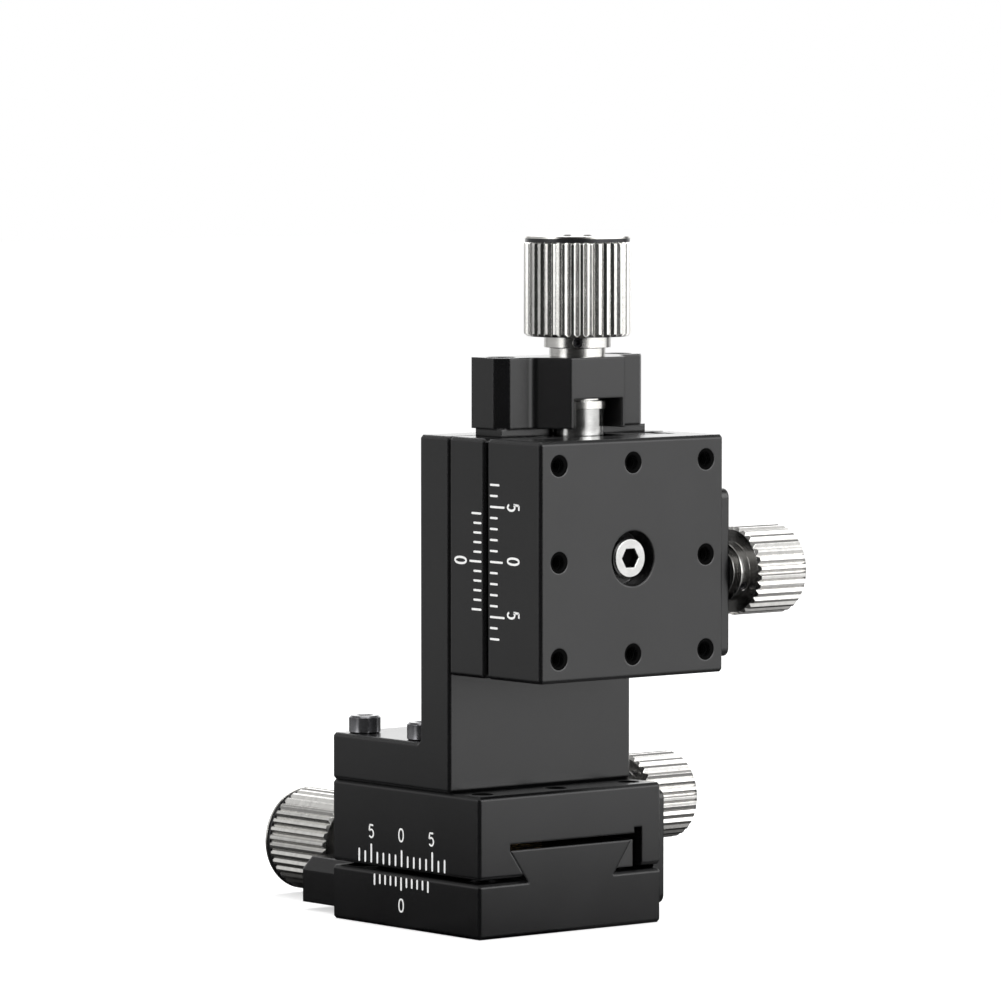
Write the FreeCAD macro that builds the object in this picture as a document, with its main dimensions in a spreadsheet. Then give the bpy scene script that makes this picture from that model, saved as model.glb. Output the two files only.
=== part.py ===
"""Two-axis (xz) dovetail translation stage, 40 mm tables, feed screws and side clamps.

The same small stage is used twice.  The lower one lies flat and moves along X.
An angle bracket on its table carries the second one upright, which moves along Z.
Each stage is drawn lying flat in its own frame: X along the travel with the feed
knob at the -X end, Y across, Z from the mounting face to the table top.
Row frame: millimetres, +Z up, origin at the centre of the lower stage's bottom face.
"""
import FreeCAD, Part
import os
import Sketcher
from FreeCAD import Placement, Rotation, Vector

doc = FreeCAD.newDocument("xz_translation_stage")
sheet = doc.addObject("Spreadsheet::Sheet", "Sizes")

# Driving dimensions, in millimetres and degrees
SIZES = [
    # Table and base of one stage
    ("table_length", 40.0, "length of base and table along the travel"),
    ("table_width", 40.0, "width of base and table across the travel"),
    ("stage_height", 24.0, "mounting face to table top"),
    ("base_height", 9.3, "mounting face to the top of the base's shoulders"),
    ("parting_gap", 0.7, "open gap between base shoulders and carriage"),
    ("travel", 7.0, "travel each way from the middle"),
    ("screw_lead", 1.0, "feed per turn of the knob"),
    ("edge_chamfer", 0.5, "chamfer on the outer edges of machined blocks"),
    # Dovetail way and gib
    ("way_top", 14.6, "height of the male dovetail's top"),
    ("way_inset", 6.75, "top of the male dovetail in from the side"),
    ("way_angle", 55.0, "angle of the dovetail flanks"),
    ("slide_clearance", 0.05, "running clearance between slide faces"),
    ("roof_gap", 1.1, "clearance above the male dovetail"),
    ("gib_inset", 6.1, "gib's flat side in from the side"),
    ("gib_slot_width", 1.75, "slot between gib and carriage wall"),
    ("gib_slot_rise", 1.0, "how far that slot runs up past the roof"),
    ("gib_setback", 0.4, "gib ends set back from the carriage ends"),
    ("gib_screw_pitch", 13.0, "spacing of the three gib set screws"),
    ("gib_screw_height", 12.3, "height of the gib set screws"),
    ("gib_screw_recess", 0.5, "gib set screws below the side face"),
    # Hole pattern and screws
    ("hole_margin", 4.0, "mounting and table holes from the edge"),
    ("tap_radius", 1.25, "drilled radius of an M3 thread"),
    ("tap_depth", 6.0, "depth of the table's threaded holes"),
    ("tap_countersink", 0.6, "width of the countersink at a threaded hole"),
    ("tap_countersink_depth", 0.35, "depth of that countersink"),
    ("screw_radius", 1.5, "M3 screw"),
    ("screw_hole_radius", 1.7, "clearance hole for an M3 screw"),
    ("screw_head_radius", 2.75, "head of an M3 cap screw"),
    ("screw_head_height", 3.0, "head height of an M3 cap screw"),
    ("screw_hex", 2.5, "hexagon socket of an M3 cap screw, across flats"),
    ("head_hole_radius", 3.0, "counterbore for an M3 head"),
    ("head_hole_depth", 3.1, "depth of that counterbore in the base"),
    ("thread_clearance", 0.02, "gap between a screw and its own fixed hole"),
    ("small_radius", 1.25, "M2.5 screw"),
    ("small_tap_radius", 1.025, "drilled radius of an M2.5 thread"),
    ("small_head_radius", 2.25, "head of an M2.5 cap screw"),
    ("small_head_height", 2.5, "head height of an M2.5 cap screw"),
    ("small_hex", 2.0, "hexagon socket of an M2.5 cap screw, across flats"),
    ("small_hole_radius", 1.4, "clearance hole for an M2.5 screw"),
    ("tap_spare", 0.8, "threaded holes deeper than their screws"),
    # Feed screw, nut and bush
    ("feed_height", 9.5, "mounting face to the feed screw's axis"),
    ("feed_radius", 3.0, "M6 feed screw and its journal"),
    ("feed_clearance", 0.05, "running clearance of screw, nut and bush"),
    ("shoulder_radius", 4.4, "shoulder of the feed screw behind the collar"),
    ("shoulder_inside", 3.0, "how far the shoulder reaches into the base"),
    ("trough_width", 12.0, "trough in the base for screw and nut"),
    ("trough_floor", 3.5, "floor thickness under the trough"),
    ("trough_end", 14.5, "blind end of the trough from the middle"),
    ("screw_end_gap", 1.0, "feed screw's end short of the trough's end"),
    ("nut_length", 12.0, "feed nut along the screw"),
    ("nut_width", 11.0, "feed nut across the trough"),
    ("nut_drop", 4.5, "nut material below the screw's axis"),
    ("nut_pocket_radius", 4.65, "counterbore in the table for the nut screw"),
    ("nut_bolt_radius", 2.0, "M4 screw that holds the nut"),
    ("nut_bolt_tap", 1.65, "drilled radius of an M4 thread"),
    ("nut_bolt_hole", 2.2, "clearance hole for an M4 screw"),
    ("nut_head_radius", 3.5, "low head of that screw"),
    ("nut_hex", 3.0, "hexagon socket of that screw, across flats"),
    ("nut_head_sink", 0.7, "nut screw head below the table top"),
    ("nut_screw_gap", 0.8, "nut screw's end above the feed screw"),
    # Feed bracket
    ("bracket_length", 13.2, "base end to the bracket's outer face"),
    ("foot_length", 1.35, "narrow foot of the bracket that meets the base"),
    ("foot_inset", 0.5, "how far the foot is set in"),
    ("ear_inset", 3.8, "bracket's ears in from the side"),
    ("ear_low", 1.3, "underside of the bracket above the mounting face"),
    ("ear_high", 7.0, "outer edge height of the ears"),
    ("ear_bevel", 2.05, "bevel along the ears"),
    ("boss_top", 15.0, "flat front of the bracket's boss"),
    ("boss_half", 5.8, "half the width of that flat"),
    ("boss_root_half", 9.3, "half the width of the boss at the ears"),
    ("boss_fillet", 1.5, "fillet between boss and ears"),
    ("window_half", 5.3, "half the width of the bracket's window"),
    ("window_length", 6.3, "base end to the window's outer wall"),
    ("window_floor", 4.2, "floor of the window above the mounting face"),
    ("bracket_screw_inset", 7.3, "bracket screws in from the side"),
    ("bracket_screw_height", 4.8, "bracket screws above the mounting face"),
    ("bracket_head_depth", 6.4, "counterbore for the bracket screws"),
    ("bracket_head_hole", 2.5, "radius of that counterbore"),
    ("bracket_screw_length", 12.0, "bracket screws under their heads"),
    ("bush_radius", 4.2, "outer radius of the bush in the bracket"),
    ("bush_proud", 0.4, "bush proud of the window's wall"),
    ("flange_radius", 4.7, "flange of the bush outside the bracket"),
    ("flange_length", 1.45, "thickness of that flange"),
    ("collar_radius", 4.8, "thrust collar"),
    ("collar_length", 1.3, "thickness of the thrust collar"),
    ("end_play", 0.1, "play of the feed screw at each end of its bush"),
    # Feed knob
    ("hub_radius", 5.6, "hub of the feed knob"),
    ("hub_length", 1.85, "length of that hub"),
    ("knob_radius", 9.0, "feed knob over its knurl"),
    ("knob_length", 16.8, "feed knob without its hub"),
    ("knob_rim", 0.4, "thin rim at the knob's outer end"),
    ("rim_groove", 0.6, "width of the turned groove behind the rim"),
    ("knob_teeth", 36, "ridges of the feed knob's straight knurl"),
    ("knurl_depth", 0.45, "depth of the knurl"),
    ("knurl_half", 0.55, "half the width of a knurl groove"),
    ("knob_chamfer", 0.5, "chamfer at the knurl's ends"),
    ("shaft_proud", 0.25, "screw end standing out of the knob"),
    ("grub_radius", 0.8, "set screw in a knob's hub"),
    ("grub_sink", 0.2, "set screw below the hub's surface"),
    ("feed_grub_turn", 39.2, "where the feed knob's set screw points"),
    # Clamp on the +Y side
    ("clamp_offset", 3.5, "clamp axis from the middle, along the travel"),
    ("clamp_drop", 4.4, "clamp axis below the table top"),
    ("plate_length", 28.4, "clamp plate along the travel"),
    ("plate_low", 2.8, "lower edge of the clamp plate"),
    ("plate_drop", 1.6, "upper edge of the clamp plate below the table top"),
    ("plate_thickness", 2.5, "clamp plate"),
    ("plate_relief", 0.15, "plate stands off the moving carriage"),
    ("plate_corner", 1.5, "corner radius of the clamp plate"),
    ("plate_screw_offset", 7.5, "plate screws from the clamp axis"),
    ("plate_screw_height", 5.2, "plate screws above the mounting face"),
    ("plate_screw_length", 7.0, "plate screws, overall"),
    ("flat_head_radius", 2.35, "countersunk head of a plate screw"),
    ("slot_clearance", 0.3, "gap round the stud in the plate's slot"),
    ("stud_depth", 8.0, "clamp stud inside the carriage"),
    ("washer_radius", 4.0, "clamp washer"),
    ("washer_thickness", 0.8, "clamp washer"),
    ("washer_gap", 0.15, "washer to plate while the clamp is loose"),
    ("clamp_hub_radius", 5.0, "hub of the clamp knob"),
    ("clamp_hub_length", 1.95, "length of that hub"),
    ("clamp_knob_radius", 7.5, "clamp knob over its knurl"),
    ("clamp_knob_length", 10.9, "clamp knob without its hub"),
    ("clamp_knob_teeth", 30, "ridges of the clamp knob's knurl"),
    ("clamp_knob_wall", 2.0, "closed outer end of the clamp knob"),
    ("clamp_grub_turn", 28.0, "where the clamp knob's set screw points"),
    # Angle bracket between the stages
    ("leg_front", 12.0, "front face of the upright leg from the middle"),
    ("leg_thickness", 8.0, "upright leg"),
    ("foot_thickness", 8.0, "lying foot"),
    ("column_height", 60.0, "height of the angle bracket"),
    ("foot_screw_length", 12.0, "foot screws under their heads"),
    ("mount_screw_length", 12.0, "screws that hold the upright stage"),
]
for row, (alias, size, meaning) in enumerate(SIZES, start=1):
    sheet.set(f"A{row}", meaning)
    sheet.set(f"B{row}", str(size))
    sheet.setAlias(f"B{row}", alias)
doc.recompute()

# Lengths that follow from the driving dimensions, as expressions
END = "Sizes.table_length / 2"
SIDE = "Sizes.table_width / 2"
HOLE_X = "(Sizes.table_length / 2 - Sizes.hole_margin)"
HOLE_Y = "(Sizes.table_width / 2 - Sizes.hole_margin)"
WAY_HALF = f"({SIDE} - Sizes.way_inset)"
GIB_FLAT = f"({SIDE} - Sizes.gib_inset)"
EAR_HALF = f"({SIDE} - Sizes.ear_inset)"
BRACKET_SCREW = f"({SIDE} - Sizes.bracket_screw_inset)"
CARRIAGE_LOW = "(Sizes.base_height + Sizes.parting_gap)"
ROOF = "(Sizes.way_top + Sizes.roof_gap)"
FLANK_GAP = "(Sizes.slide_clearance / sin(Sizes.way_angle))"
WAY_ROOT = f"({WAY_HALF} - (Sizes.way_top - Sizes.base_height) / tan(Sizes.way_angle))"
FLANK_LOW = f"({WAY_HALF} - (Sizes.way_top - {CARRIAGE_LOW}) / tan(Sizes.way_angle) + {FLANK_GAP})"
FLANK_HIGH = f"({WAY_HALF} + {FLANK_GAP})"
WALL_FACE = f"({GIB_FLAT} + Sizes.gib_slot_width)"
HEAD_SEAT = "(Sizes.base_height - Sizes.head_hole_depth)"
NUT_HEAD_SEAT = "(Sizes.stage_height - Sizes.nut_head_sink - Sizes.screw_head_height)"
NUT_SCREW_LENGTH = f"{NUT_HEAD_SEAT} - Sizes.feed_height - Sizes.feed_radius - Sizes.nut_screw_gap"
CLAMP_HEIGHT = "(Sizes.stage_height - Sizes.clamp_drop)"
PLATE_HIGH = "(Sizes.stage_height - Sizes.plate_drop)"
CORE = "(Sizes.tap_radius - Sizes.thread_clearance)"
SMALL_CORE = "(Sizes.small_tap_radius - Sizes.thread_clearance)"
BRACKET_FACE = f"(-{END} - Sizes.bracket_length)"
WINDOW_WALL = f"(-{END} - Sizes.window_length)"
BUSH_INNER = f"({WINDOW_WALL} + Sizes.bush_proud)"
FLANGE_FACE = f"({BRACKET_FACE} - Sizes.flange_length)"
COLLAR_OUTER = f"({BUSH_INNER} + Sizes.end_play)"
SHOULDER_OUTER = f"({COLLAR_OUTER} + Sizes.collar_length)"
HUB_FACE = f"({FLANGE_FACE} - Sizes.end_play)"
KNOB_INNER = f"({HUB_FACE} - Sizes.hub_length)"
KNOB_OUTER = f"({KNOB_INNER} - Sizes.knob_length)"
PLATE_FACE = f"({SIDE} + Sizes.plate_thickness)"
WASHER_FACE = f"({PLATE_FACE} + Sizes.washer_gap)"
CLAMP_HUB = f"({WASHER_FACE} + Sizes.washer_thickness)"
CLAMP_INNER = f"({CLAMP_HUB} + Sizes.clamp_hub_length)"
CLAMP_OUTER = f"({CLAMP_INNER} + Sizes.clamp_knob_length)"
FOOT_TOP = "(Sizes.stage_height + Sizes.foot_thickness)"
COLUMN_TOP = "(Sizes.stage_height + Sizes.column_height)"
UPRIGHT_MIDDLE = f"({COLUMN_TOP} - {END})"
ON_AXIS = "0"


def number(expression):
    """Value of an expression over the sheet's sizes."""
    result = sheet.evalExpression(expression)
    return float(getattr(result, "Value", result))


def new_body(node, upright=False):
    """A sub-part's body.  The upright stage is the flat one turned onto the leg."""
    body = doc.addObject("PartDesign::Body", node)
    body.Label = node
    body.AllowCompound = True
    if upright:
        body.Placement = Placement(Vector(0, 0, 0), Rotation(Vector(0, 1, 0), 90))
        body.setExpression("Placement.Base.x", "Sizes.leg_front")
        body.setExpression("Placement.Base.z", UPRIGHT_MIDDLE)
    return body


def new_sketch(body, plane, at=(ON_AXIS, ON_AXIS, ON_AXIS), turn_about=None, turn=None):
    """A sketch on one of the body's own planes, moved by expressions and turned."""
    support = [o for o in body.Origin.OriginFeatures if o.Role == plane][0]
    sketch = body.newObject("Sketcher::SketchObject", f"{body.Name}_sketch")
    sketch.AttachmentSupport = [(support, "")]
    sketch.MapMode = "FlatFace"
    if turn_about:
        sketch.AttachmentOffset = Placement(Vector(0, 0, 0), Rotation(turn_about, 1))
        sketch.setExpression("AttachmentOffset.Rotation.Angle", turn)
    for axis, expression in zip("xyz", at):
        if expression != ON_AXIS:
            sketch.setExpression(f"AttachmentOffset.Base.{axis}", expression)
    return sketch


def bind(sketch, constraint, expression):
    index = sketch.addConstraint(constraint)
    sketch.setExpression(f"Constraints[{index}]", expression)


def draw_outline(sketch, points):
    """A closed outline whose every corner is bound to the sheet."""
    first = sketch.GeometryCount
    places = [Vector(number(x), number(y), 0) for x, y in points]
    count = len(places)
    for i in range(count):
        sketch.addGeometry(Part.LineSegment(places[i], places[(i + 1) % count]))
    for i in range(count):
        after = first + (i + 1) % count
        sketch.addConstraint(Sketcher.Constraint("Coincident", first + i, 2, after, 1))
    for i, (x, y) in enumerate(points):
        bind(sketch, Sketcher.Constraint("DistanceX", -1, 1, first + i, 1, places[i].x), x)
        bind(sketch, Sketcher.Constraint("DistanceY", -1, 1, first + i, 1, places[i].y), y)


def draw_rectangle(sketch, low, high):
    draw_outline(sketch, [low, (high[0], low[1]), high, (low[0], high[1])])


def draw_circle(sketch, centre, radius):
    index = sketch.GeometryCount
    place = Vector(number(centre[0]), number(centre[1]), 0)
    sketch.addGeometry(Part.Circle(place, Vector(0, 0, 1), number(radius)))
    bind(sketch, Sketcher.Constraint("DistanceX", -1, 1, index, 3, place.x), centre[0])
    bind(sketch, Sketcher.Constraint("DistanceY", -1, 1, index, 3, place.y), centre[1])
    bind(sketch, Sketcher.Constraint("Radius", index, number(radius)), radius)


def extrude(body, sketch, length, cut=False, backwards=False):
    """Pad, or pocket when cut is set, along the sketch's normal."""
    kind = "PartDesign::Pocket" if cut else "PartDesign::Pad"
    volume = body.Shape.Volume if body.Tip else 0.0
    feature = body.newObject(kind, f"{body.Name}_{'pocket' if cut else 'pad'}")
    feature.Profile = sketch
    feature.setExpression("Length", length)
    feature.Reversed = backwards != cut
    doc.recompute()
    changed = body.Shape.Volume - volume
    if changed * (-1 if cut else 1) <= 0:
        raise ValueError(f"{feature.Name} of {body.Label} changed nothing")
    return feature


def bar(body, points, start, length, cut=False):
    """A prism along X: its outline is drawn as (y, z)."""
    sketch = new_sketch(body, "YZ_Plane", (ON_AXIS, ON_AXIS, start))
    draw_outline(sketch, points)
    return extrude(body, sketch, length, cut)


def round_holes(body, centres, radius, start, length):
    """Round holes down along -Z from the height start, centred at (x, y)."""
    sketch = new_sketch(body, "XY_Plane", (ON_AXIS, ON_AXIS, start))
    for centre in centres:
        draw_circle(sketch, centre, radius)
    return extrude(body, sketch, length, cut=True, backwards=True)


def end_holes(body, centres, radius, start, length):
    """Round holes along +X from start, centred at (y, z)."""
    sketch = new_sketch(body, "YZ_Plane", (ON_AXIS, ON_AXIS, start))
    for centre in centres:
        draw_circle(sketch, centre, radius)
    return extrude(body, sketch, length, cut=True)


def side_holes(body, centres, radius, start, length):
    """Round holes along -Y from start, centred at (x, z)."""
    sketch = new_sketch(body, "XZ_Plane", (ON_AXIS, ON_AXIS, f"-({start})"))
    for centre in centres:
        draw_circle(sketch, centre, radius)
    return extrude(body, sketch, length, cut=True)


def revolve(body, sketch, points, axis):
    draw_outline(sketch, points)
    feature = body.newObject("PartDesign::Revolution", f"{body.Name}_turned")
    feature.Profile = sketch
    feature.ReferenceAxis = (sketch, [axis])
    feature.Angle = 360
    doc.recompute()
    return feature


def edges_on(shape, planes):
    """Names of the straight edges whose two ends lie on two of the given planes."""
    names = []
    for i, edge in enumerate(shape.Edges, start=1):
        if len(edge.Vertexes) != 2 or edge.Curve.TypeId != "Part::GeomLine":
            continue
        ends = [v.Point for v in edge.Vertexes]
        shared = [p for p in planes if all(abs(getattr(e, p[0]) - p[1]) < 1e-5 for e in ends)]
        if len(shared) >= 2:
            names.append(f"Edge{i}")
    return names


def bevel(body, planes, size="Sizes.edge_chamfer"):
    """Chamfer along the outer edges where two of the planes meet."""
    base = body.Tip
    places = [(axis, number(expression)) for axis, expression in planes]
    feature = body.newObject("PartDesign::Chamfer", f"{body.Name}_chamfer")
    feature.Base = (base, edges_on(base.Shape, places))
    feature.setExpression("Size", size)
    doc.recompute()
    return feature


def hexagon(sketch, flats):
    """A hexagon socket centred on the sketch's origin."""
    half = f"({flats}) / 2"
    corner = f"({flats}) / sqrt(3)"
    draw_outline(sketch, [
        (corner, "0"), (f"{corner} / 2", half), (f"-{corner} / 2", half),
        (f"-({corner})", "0"), (f"-{corner} / 2", f"-({half})"), (f"{corner} / 2", f"-({half})"),
    ])


def cap_screw_profile(radius, core, head, head_height, length, plain):
    """Half section (radius, along) of a socket cap screw, seat at 0, head upwards."""
    break_edge = "Sizes.edge_chamfer / 2"
    return [
        ("0", f"-({length})"), (f"{core} - {break_edge}", f"-({length})"),
        (core, f"-({length}) + {break_edge}"), (core, f"-({plain})"), (radius, f"-({plain})"),
        (radius, "0"), (head, "0"), (head, f"{head_height} - {break_edge}"),
        (f"{head} - {break_edge}", head_height), ("0", head_height),
    ]


M3 = ("Sizes.screw_radius", CORE, "Sizes.screw_head_radius", "Sizes.screw_head_height")
M25 = ("Sizes.small_radius", SMALL_CORE, "Sizes.small_head_radius", "Sizes.small_head_height")


def along_x(profile):
    """A (radius, along) profile laid along X with its head towards -X."""
    return [(f"-({along})", radius) for radius, along in profile]


def spread(body, features, rows):
    """Repeat a finished screw; rows are (axis, spacing, count), one after another."""
    axes = {o.Role: o for o in body.Origin.OriginFeatures}
    multi = body.newObject("PartDesign::MultiTransform", f"{body.Name}_set")
    multi.Originals = features
    patterns = []
    for axis, spacing, count in rows:
        pattern = body.newObject("PartDesign::LinearPattern", f"{body.Name}_row")
        pattern.Direction = (axes[axis], [""])
        pattern.setExpression("Length", f"({spacing}) * {count - 1}")
        pattern.Occurrences = count
        patterns.append(pattern)
    multi.Transformations = patterns
    body.Tip = multi
    doc.recompute()


def down_screws(body, x, y, seat, size, length, plain, flats, rows=()):
    """Cap screws along -Z from a seat, the first at (x, y)."""
    profile = cap_screw_profile(*size, length, plain)
    turned = revolve(body, new_sketch(body, "XZ_Plane", (x, seat, f"-({y})")), profile, "V_Axis")
    head_height = size[3]
    socket_sketch = new_sketch(body, "XY_Plane", (x, y, f"{seat} + {head_height}"))
    hexagon(socket_sketch, flats)
    socket = extrude(body, socket_sketch, f"{head_height} / 2", cut=True, backwards=True)
    if rows:
        spread(body, [turned, socket], rows)


def circle_edges(shape, radius, axis, level):
    """Names of the round edges of one radius that lie at a level along an axis."""
    names = []
    for i, edge in enumerate(shape.Edges, start=1):
        if edge.Curve.TypeId != "Part::GeomCircle":
            continue
        at_level = abs(getattr(edge.Curve.Center, axis) - level) < 1e-5
        if at_level and abs(edge.Curve.Radius - radius) < 1e-5:
            names.append(f"Edge{i}")
    return names


def countersink(body, radius, axis, level, width, depth):
    base = body.Tip
    feature = body.newObject("PartDesign::Chamfer", f"{body.Name}_countersink")
    feature.Base = (base, circle_edges(base.Shape, number(radius), axis, number(level)))
    feature.ChamferType = "Two distances"
    feature.setExpression("Size", width)
    feature.setExpression("Size2", depth)
    doc.recompute()


def round_off(body, planes, radius):
    """Fillet along the edges where two of the planes meet."""
    base = body.Tip
    places = [(axis, number(expression)) for axis, expression in planes]
    feature = body.newObject("PartDesign::Fillet", f"{body.Name}_fillet")
    feature.Base = (base, edges_on(base.Shape, places))
    feature.setExpression("Radius", radius)
    doc.recompute()


def knurl(body, groove, axis_sketch, teeth):
    """Repeat one groove round the axis that its knob was turned about."""
    pattern = body.newObject("PartDesign::PolarPattern", f"{body.Name}_knurl")
    pattern.Originals = [groove]
    pattern.Axis = (axis_sketch, ["H_Axis"])
    pattern.Angle = 360
    pattern.setExpression("Occurrences", teeth)
    body.Tip = pattern
    doc.recompute()


def groove_outline(sketch, radius):
    """One V groove of a straight knurl, its tip towards the sketch's origin."""
    width = "2 * Sizes.knurl_half"
    top = f"{radius} + Sizes.knurl_depth"
    draw_outline(sketch, [(f"-({width})", top), ("0", f"{radius} - Sizes.knurl_depth"), (width, top)])


def make_base(node, upright):
    """Base with the male dovetail, a trough for the feed screw and four mounting holes."""
    body = new_body(node, upright)
    bar(body, [
        (f"-({SIDE})", "0"), (SIDE, "0"), (SIDE, "Sizes.base_height"),
        (WAY_ROOT, "Sizes.base_height"), (WAY_HALF, "Sizes.way_top"),
        (f"-{WAY_HALF}", "Sizes.way_top"), (f"-{WAY_ROOT}", "Sizes.base_height"),
        (f"-({SIDE})", "Sizes.base_height"),
    ], f"-({END})", "Sizes.table_length")
    bevel(body, [
        ("x", f"-({END})"), ("x", END), ("y", f"-({SIDE})"), ("y", SIDE),
        ("z", "0"), ("z", "Sizes.base_height"),
    ])
    half = "Sizes.trough_width / 2"
    open_top = "Sizes.way_top + Sizes.roof_gap"
    bar(body, [
        (f"-{half}", "Sizes.trough_floor"), (half, "Sizes.trough_floor"),
        (half, open_top), (f"-{half}", open_top),
    ], f"-({END})", f"{END} + Sizes.trough_end", cut=True)
    corners = [(f"{i}{HOLE_X}", f"{j}{HOLE_Y}") for i in ("-", "") for j in ("-", "")]
    round_holes(body, corners, "Sizes.screw_hole_radius", "Sizes.base_height", "Sizes.base_height")
    round_holes(body, corners, "Sizes.head_hole_radius", "Sizes.base_height", "Sizes.head_hole_depth")
    thread = "Sizes.bracket_screw_length - Sizes.bracket_length + Sizes.bracket_head_depth"
    end_holes(body, [(f"{i}{BRACKET_SCREW}", "Sizes.bracket_screw_height") for i in ("-", "")],
              "Sizes.small_tap_radius", f"-({END})", f"{thread} + Sizes.tap_spare")
    side_holes(body, [(f"Sizes.clamp_offset {i} Sizes.plate_screw_offset", "Sizes.plate_screw_height")
                      for i in ("-", "+")],
               "Sizes.small_tap_radius", SIDE,
               "Sizes.plate_screw_length - Sizes.plate_thickness + Sizes.tap_spare")
    return body


def make_carriage(node, upright):
    """Moving table: female dovetail with room for a gib, tapped holes in its top."""
    body = new_body(node, upright)
    slot_top = f"{ROOF} + Sizes.gib_slot_rise"
    bar(body, [
        (f"-({SIDE})", CARRIAGE_LOW), (f"-({SIDE})", "Sizes.stage_height"),
        (SIDE, "Sizes.stage_height"), (SIDE, CARRIAGE_LOW), (WALL_FACE, CARRIAGE_LOW),
        (WALL_FACE, slot_top), (f"{GIB_FLAT} + Sizes.slide_clearance", slot_top),
        (f"{GIB_FLAT} + Sizes.slide_clearance", ROOF), (f"-{FLANK_HIGH}", ROOF),
        (f"-{FLANK_HIGH}", "Sizes.way_top"), (f"-{FLANK_LOW}", CARRIAGE_LOW),
    ], f"-({END})", "Sizes.table_length")
    bevel(body, [
        ("x", f"-({END})"), ("x", END), ("y", f"-({SIDE})"), ("y", SIDE),
        ("z", "Sizes.stage_height"), ("z", CARRIAGE_LOW),
    ])
    ring = [(f"{i}{HOLE_X}", f"{j}{HOLE_Y}") for i in ("-", "0 * ", "") for j in ("-", "0 * ", "")]
    ring.remove((f"0 * {HOLE_X}", f"0 * {HOLE_Y}"))
    round_holes(body, ring, "Sizes.tap_radius", "Sizes.stage_height", "Sizes.tap_depth")
    countersink(body, "Sizes.tap_radius", "z", "Sizes.stage_height", "Sizes.tap_countersink",
                "Sizes.tap_countersink_depth")
    middle = [("0", "0")]
    round_holes(body, middle, "Sizes.nut_pocket_radius", "Sizes.stage_height",
                f"Sizes.stage_height - {NUT_HEAD_SEAT}")
    round_holes(body, middle, "Sizes.nut_bolt_hole", NUT_HEAD_SEAT, f"{NUT_HEAD_SEAT} - {ROOF}")
    side_holes(body, [(f"{i} * Sizes.gib_screw_pitch", "Sizes.gib_screw_height") for i in (-1, 0, 1)],
               "Sizes.tap_radius", SIDE, f"{SIDE} - {WALL_FACE}")
    side_holes(body, [("Sizes.clamp_offset", CLAMP_HEIGHT)],
               f"{CORE} + Sizes.feed_clearance", SIDE, "Sizes.stud_depth + Sizes.tap_spare")
    return body


def make_gib(node, upright):
    """Wedge-section gib between the male dovetail and the carriage's wall."""
    body = new_body(node, upright)
    bar(body, [
        (FLANK_LOW, CARRIAGE_LOW), (GIB_FLAT, CARRIAGE_LOW),
        (GIB_FLAT, "Sizes.way_top"), (FLANK_HIGH, "Sizes.way_top"),
    ], f"-({END}) + Sizes.gib_setback", "Sizes.table_length - 2 * Sizes.gib_setback")
    return body


def make_gib_screws(node, upright):
    """Three set screws that press the gib from the side."""
    body = new_body(node, upright)
    outer = f"{SIDE} - Sizes.gib_screw_recess"
    tip = f"{CORE} / 2"
    sketch = new_sketch(body, "YZ_Plane", ("0", "Sizes.gib_screw_height", "-Sizes.gib_screw_pitch"))
    turned = revolve(body, sketch, [
        (GIB_FLAT, "0"), (GIB_FLAT, tip), (f"{GIB_FLAT} + {tip}", CORE),
        (outer, CORE), (outer, "0"),
    ], "H_Axis")
    socket_sketch = new_sketch(body, "XZ_Plane",
                               ("-Sizes.gib_screw_pitch", "Sizes.gib_screw_height", f"-({outer})"))
    hexagon(socket_sketch, CORE)
    socket = extrude(body, socket_sketch, CORE, cut=True)
    spread(body, [turned, socket], [("X_Axis", "Sizes.gib_screw_pitch", 3)])
    return body


def make_feed_bracket(node, upright):
    """Hat-section bracket in which the feed screw turns; the carriage slides over it."""
    body = new_body(node, upright)
    shelf = "Sizes.ear_high + Sizes.ear_bevel"
    right = [
        (EAR_HALF, "Sizes.ear_low"), (EAR_HALF, "Sizes.ear_high"),
        (f"{EAR_HALF} - Sizes.ear_bevel", shelf), ("Sizes.boss_root_half", shelf),
        ("Sizes.boss_half", "Sizes.boss_top"),
    ]
    left = [(f"-({y})", z) for y, z in reversed(right)]
    bar(body, right + left, BRACKET_FACE, "Sizes.bracket_length - Sizes.foot_length")
    round_off(body, [("y", "Sizes.boss_root_half"), ("y", "-Sizes.boss_root_half"), ("z", shelf)],
              "Sizes.boss_fillet")
    foot_half = f"{EAR_HALF} - Sizes.foot_inset"
    foot_low = "Sizes.ear_low + Sizes.foot_inset"
    foot_high = f"{shelf} - Sizes.foot_inset"
    bar(body, [
        (f"-({foot_half})", foot_low), (foot_half, foot_low),
        (foot_half, foot_high), (f"-({foot_half})", foot_high),
    ], f"-({END}) - Sizes.foot_length", "Sizes.foot_length")
    above = "Sizes.boss_top + Sizes.foot_length"
    bar(body, [
        ("-Sizes.window_half", "Sizes.window_floor"), ("Sizes.window_half", "Sizes.window_floor"),
        ("Sizes.window_half", above), ("-Sizes.window_half", above),
    ], WINDOW_WALL, "Sizes.window_length", cut=True)
    end_holes(body, [("0", "Sizes.feed_height")], "Sizes.bush_radius + Sizes.thread_clearance",
              BRACKET_FACE, "Sizes.bracket_length - Sizes.window_length")
    screws = [(f"{i}{BRACKET_SCREW}", "Sizes.bracket_screw_height") for i in ("-", "")]
    end_holes(body, screws, "Sizes.small_hole_radius", BRACKET_FACE, "Sizes.bracket_length")
    end_holes(body, screws, "Sizes.bracket_head_hole", BRACKET_FACE, "Sizes.bracket_head_depth")
    return body


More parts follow.
